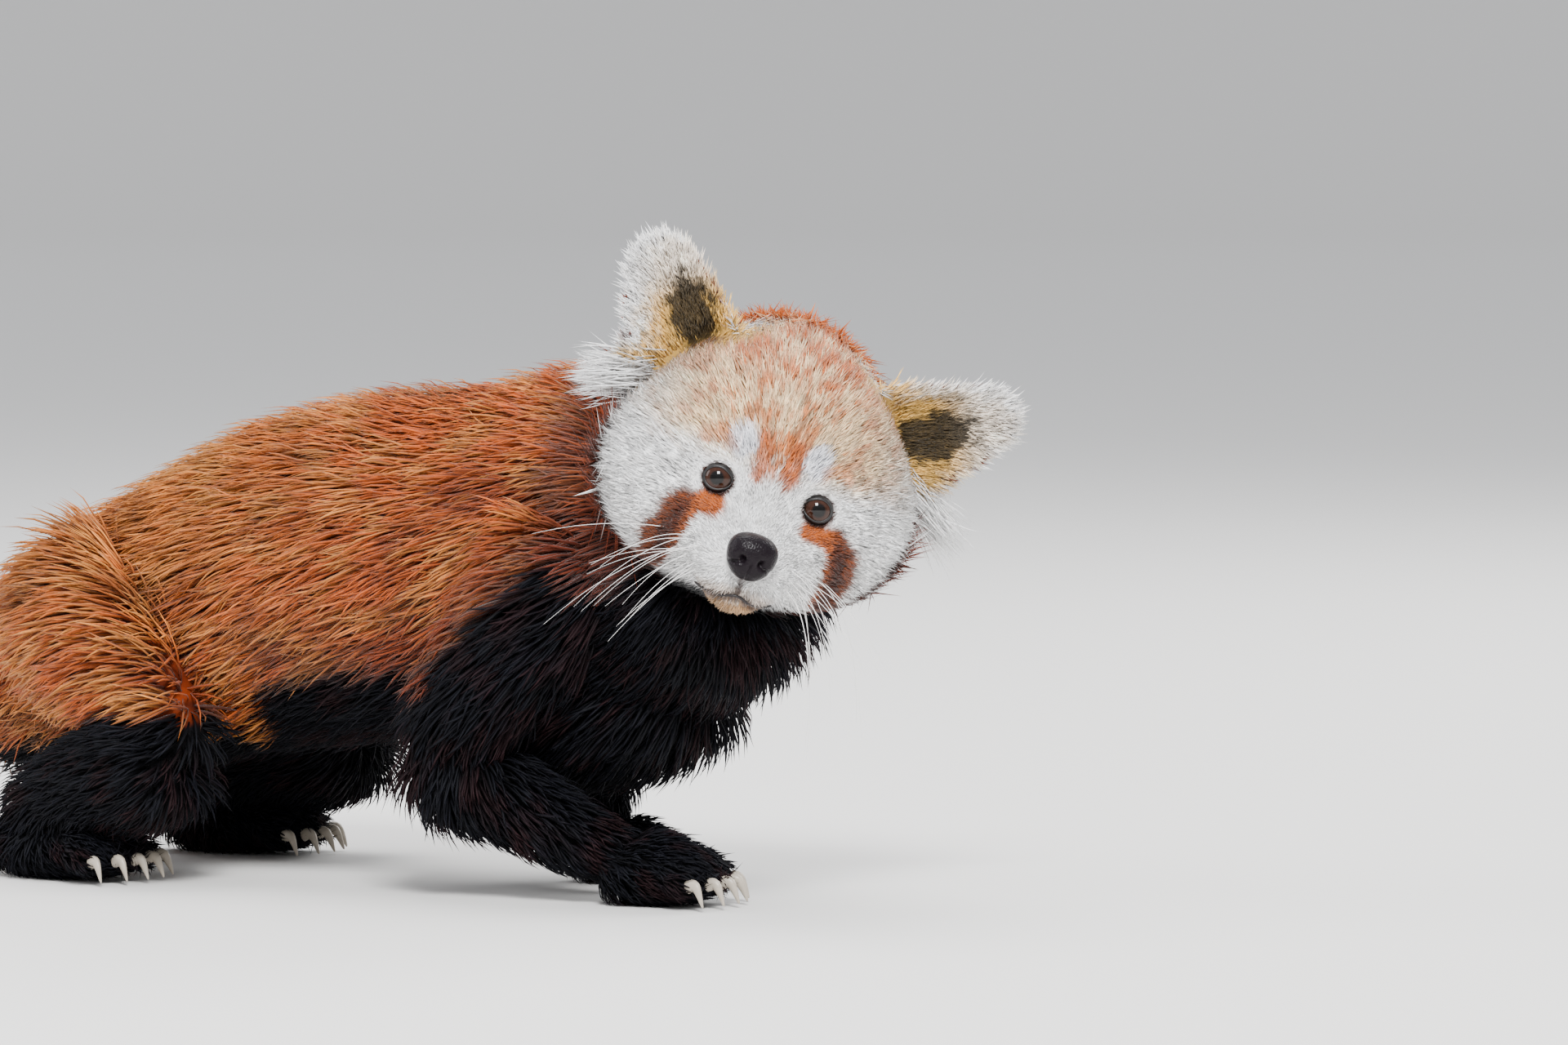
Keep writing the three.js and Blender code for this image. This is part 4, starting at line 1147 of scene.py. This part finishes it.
def nose_form(t, angle):
    """A squarish egg, narrower below, with nostrils, their slits and a groove pressed into its front.

    A point lies at half times d / (sum of |d|^2.4)^(1 / 2.4) for a direction d.
    """
    polar = np.pi * t + 0 * angle
    d = np.stack([np.cos(polar), np.sin(polar) * np.cos(angle), np.sin(polar) * np.sin(angle)], -1)
    x, y, z = np.moveaxis(d, -1, 0)
    square = (np.abs(x) ** 2.4 + np.abs(y) ** 2.4 + np.abs(z) ** 2.4) ** (-1 / 2.4)
    half = np.stack([9.4 + 0 * z, 11.2 * (1 + 0.16 * z - 0.1 * z * z), 10.6 + 0 * z], -1)
    side = np.abs(y)
    pit = np.exp(-(((side - 0.42) / 0.15) ** 2) - ((z + 0.08) / 0.17) ** 2)
    slit = np.exp(-(((side - 0.72) / 0.2) ** 2) - ((z + 0.26 + 0.25 * (side - 0.6)) / 0.07) ** 2)
    groove = np.exp(-((y / 0.05) ** 2)) * ramp(z, 0.1, -0.3)
    inward = (3.6 * pit + 2.0 * slit + 0.7 * groove) * ramp(x, -0.1, 0.35)
    return d * square[..., None] * half - d * inward[..., None] + NOSE_AT


class PANDA_OT_nose(bpy.types.Operator):
    """Build the nose leather with its nostrils, and the line of the lips"""

    bl_idname = "panda.nose"
    bl_label = "Nose"

    def execute(self, context):
        angle = 2 * np.pi * np.arange(120)[None, :] / 120
        verts, faces = closed_grid(from_head(nose_form(np.linspace(0, 1, 91)[:, None], angle)))
        thing = new_object("nose_leather", place(verts), faces)
        material, tree, shader = fresh_material("Nose leather")
        leather = np.array(context.scene.panda_colours.leather)
        where = mottle(tree, shader, 160, leather, leather * 2.2)
        cells = add_node(tree, "TexVoronoi", Scale=1100)
        bump = add_node(tree, "Bump", Strength=0.35, Distance=0.0005)
        link(tree, (where, "Object", cells, "Vector"), (cells, "Distance", bump, "Height"))
        link(tree, (bump, "Normal", shader, "Normal"))
        set_inputs(shader, Roughness=0.32, Specular_IOR_Level=0.12)
        adopt(thing, material, "nose_leather", "nose")

        line = [[73, -21, -44], [79, -17, -44.6], [84, -10, -44.6], [87, -3, -42.5]]
        line += [[84, 4, -44.6], [79, 11, -44.6], [73, 15, -44]]
        rows = [[*from_head(p), 0.6, 0.6] for p in line]
        verts, faces = closed_tube(rows, 70, 12, up=AXES[2], cap=0.08)
        lips = new_object("lips", place(verts), faces)
        paint(lips, LIP)
        adopt(lips, hair_material("Lips", 0.45, 0.4, 0.0, 1500, 0.3), "nose_leather")
        return {"FINISHED"}


class PANDA_OT_claws(bpy.types.Operator):
    """Build the pale curved claws"""

    bl_idname = "panda.claws"
    bl_label = "Claws"

    def execute(self, context):
        pieces, nodes = [], []
        for name, foot in FEET.items():
            for number, (_, tip, fan) in enumerate(toes(foot)):
                start = tip + fan * 1.0 + (0, 0, 1.5)
                middle = start + fan * 5.5 + (0, 0, 0.6)
                end = start + fan * 10
                end[2] = 2.0
                rows = [[*start, 2.1, 3.1], [*middle, 1.8, 2.5], [*end, 0.35, 0.45]]
                pieces.append(closed_tube(rows, 18, 12, cap=0.08))
                nodes.append(f"{name}_claw_{number + 1}")
        verts, faces = joined(pieces)
        thing = new_object("claws", place(verts), faces)
        material, tree, shader = fresh_material("Claw horn")
        horn = np.array(context.scene.panda_colours.horn)
        mottle(tree, shader, 300, horn * 0.7, horn)
        set_inputs(shader, Roughness=0.35)
        adopt(thing, material, "claw_horn", *nodes)
        return {"FINISHED"}


class PANDA_OT_whiskers(bpy.types.Operator):
    """Build the long white whiskers of the lips, brows and chin"""

    bl_idname = "panda.whiskers"
    bl_label = "Whiskers"

    def execute(self, context):
        rng = np.random.default_rng(SEED + 1)
        longest = context.scene.panda_sizes.whisker_length
        pieces = []
        for side in (-1, 1):
            for k in range(15):
                row, number = divmod(k, 5)
                start = np.array([77 - 5.5 * number, side * (19 + 1.9 * number), -26.0 - 4.5 * row])
                reach = longest * (1 - 0.12 * row) * rng.uniform(0.45, 1.0)
                out = unit(np.array([0.1 - 0.1 * number, side * 1.0, -0.2 - 0.24 * row]))
                out = unit(out + 0.16 * rng.standard_normal(3))
                sag = np.array([-0.15, -0.1 * side, -0.62]) * rng.uniform(0.4, 1.3)
                points = [start + out * reach * s + sag * reach * s * s for s in np.linspace(-0.04, 1, 6)]
                rows = [[*from_head(p), r, r] for p, r in zip(points, np.linspace(0.19, 0.05, 6))]
                pieces.append(closed_tube(rows, 16, 5, cap=0.04))
        verts, faces = joined(pieces)
        verts[:, 2] = np.maximum(verts[:, 2], WHISKER_LOW)
        thing = new_object("whiskers", place(verts), faces)
        paint(thing, WHISKER)
        adopt(thing, hair_material("Whisker", 0.4, 0.5, 0.0, 900, 0.1), "face_coat")
        return {"FINISHED"}


class PANDA_OT_stage(bpy.types.Operator):
    """Set the pale floor, the soft lights and the camera"""

    bl_idname = "panda.stage"
    bl_label = "Stage"

    def execute(self, context):
        """The floor is a profile carried round: flat, then rising in a quarter circle to a low wall."""
        turn = np.linspace(0, np.pi / 2, 14)
        radius = np.concatenate([[0.0, 4.0, 10.0], 20 + 6 * np.sin(turn), [26.0]])
        height = np.concatenate([[0.0, 0.0, 0.0], 6 - 6 * np.cos(turn), [9.0]])
        a = 2 * np.pi * np.arange(96) / 96
        far, high = radius[:, None], height[:, None]
        points = np.stack([far * np.cos(a), far * np.sin(a), high + 0 * a], -1)
        floor = new_object("floor", points.reshape(-1, 3), quads(*points.shape[:2], False))
        material, _, shader = fresh_material("Floor")
        set_inputs(shader, Base_Color=(*context.scene.panda_colours.floor, 1), Roughness=0.9)
        floor.data.materials.append(material)
        floor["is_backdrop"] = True

        world = bpy.data.worlds.new("Studio")
        world.use_nodes = True
        set_inputs(world.node_tree.nodes["Background"], Color=(0.93, 0.95, 1.0, 1), Strength=0.95)
        context.scene.world = world
        for name, spot, power, size in (
            ("key", (1.9, -2.4, 2.5), 230, 1.0),
            ("fill", (-2.6, -1.8, 1.8), 55, 2.0),
            ("top", (-0.4, 0.6, 3.2), 100, 2.4),
            ("rim", (1.0, 2.6, 1.8), 70, 1.6),
        ):
            data = bpy.data.lights.new(name, "AREA")
            data.energy, data.size = power, size
            aim(put(name, data), spot, place([-150, 0, 120]))

        across = math.cos(VIEW_RISE)
        back = [math.sin(VIEW_TURN) * across, -math.cos(VIEW_TURN) * across, math.sin(VIEW_RISE)]
        data = bpy.data.cameras.new("camera")
        data.sensor_width, data.lens, data.clip_end = SENSOR, LENS, 100
        camera = put("camera", data)
        aim(camera, place(VIEW_AT) + VIEW_AWAY * np.array(back), place(VIEW_AT))
        context.scene.camera = camera
        return {"FINISHED"}


def aim(thing, spot, target):
    """Puts a light or the camera at a spot and turns it to look at a point, upright."""
    thing.location = spot
    way = Vector(target) - Vector(spot)
    thing.rotation_euler = way.to_track_quat("-Z", "Y").to_euler()


STEPS = (
    PANDA_OT_stage,
    PANDA_OT_skin,
    PANDA_OT_eyes,
    PANDA_OT_nose,
    PANDA_OT_claws,
    PANDA_OT_whiskers,
    PANDA_OT_coat,
    PANDA_OT_ear_tufts,
)


class PANDA_PT_panel(bpy.types.Panel):
    """Lists the building steps and what may be changed"""

    bl_label = "Red panda"
    bl_idname = "PANDA_PT_panel"
    bl_space_type = "VIEW_3D"
    bl_region_type = "UI"
    bl_category = "Red panda"

    def draw(self, context):
        for group in (context.scene.panda_sizes, context.scene.panda_colours):
            for key in group.bl_rna.properties.keys():
                if key not in ("rna_type", "name"):
                    self.layout.prop(group, key)
        for step in STEPS:
            self.layout.operator(step.bl_idname)


CLASSES = (PandaSizes, PandaColours, *STEPS, PANDA_PT_panel)


def register():
    for item in CLASSES:
        bpy.utils.register_class(item)
    bpy.types.Scene.panda_sizes = bpy.props.PointerProperty(type=PandaSizes)
    bpy.types.Scene.panda_colours = bpy.props.PointerProperty(type=PandaColours)


def unregister():
    del bpy.types.Scene.panda_sizes
    del bpy.types.Scene.panda_colours
    for item in reversed(CLASSES):
        bpy.utils.unregister_class(item)


def main():
    """Registers the add-on, runs each step in order and works out the model's bounds."""
    register()
    for step in STEPS:
        group, name = step.bl_idname.split(".")
        getattr(getattr(bpy.ops, group), name)()
    plain = lambda box: [[float(v) for v in corner] for corner in box]
    {"cad": plain(CAD_BOX), "visual": plain(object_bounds())}


if __name__ == "__main__":
    main()
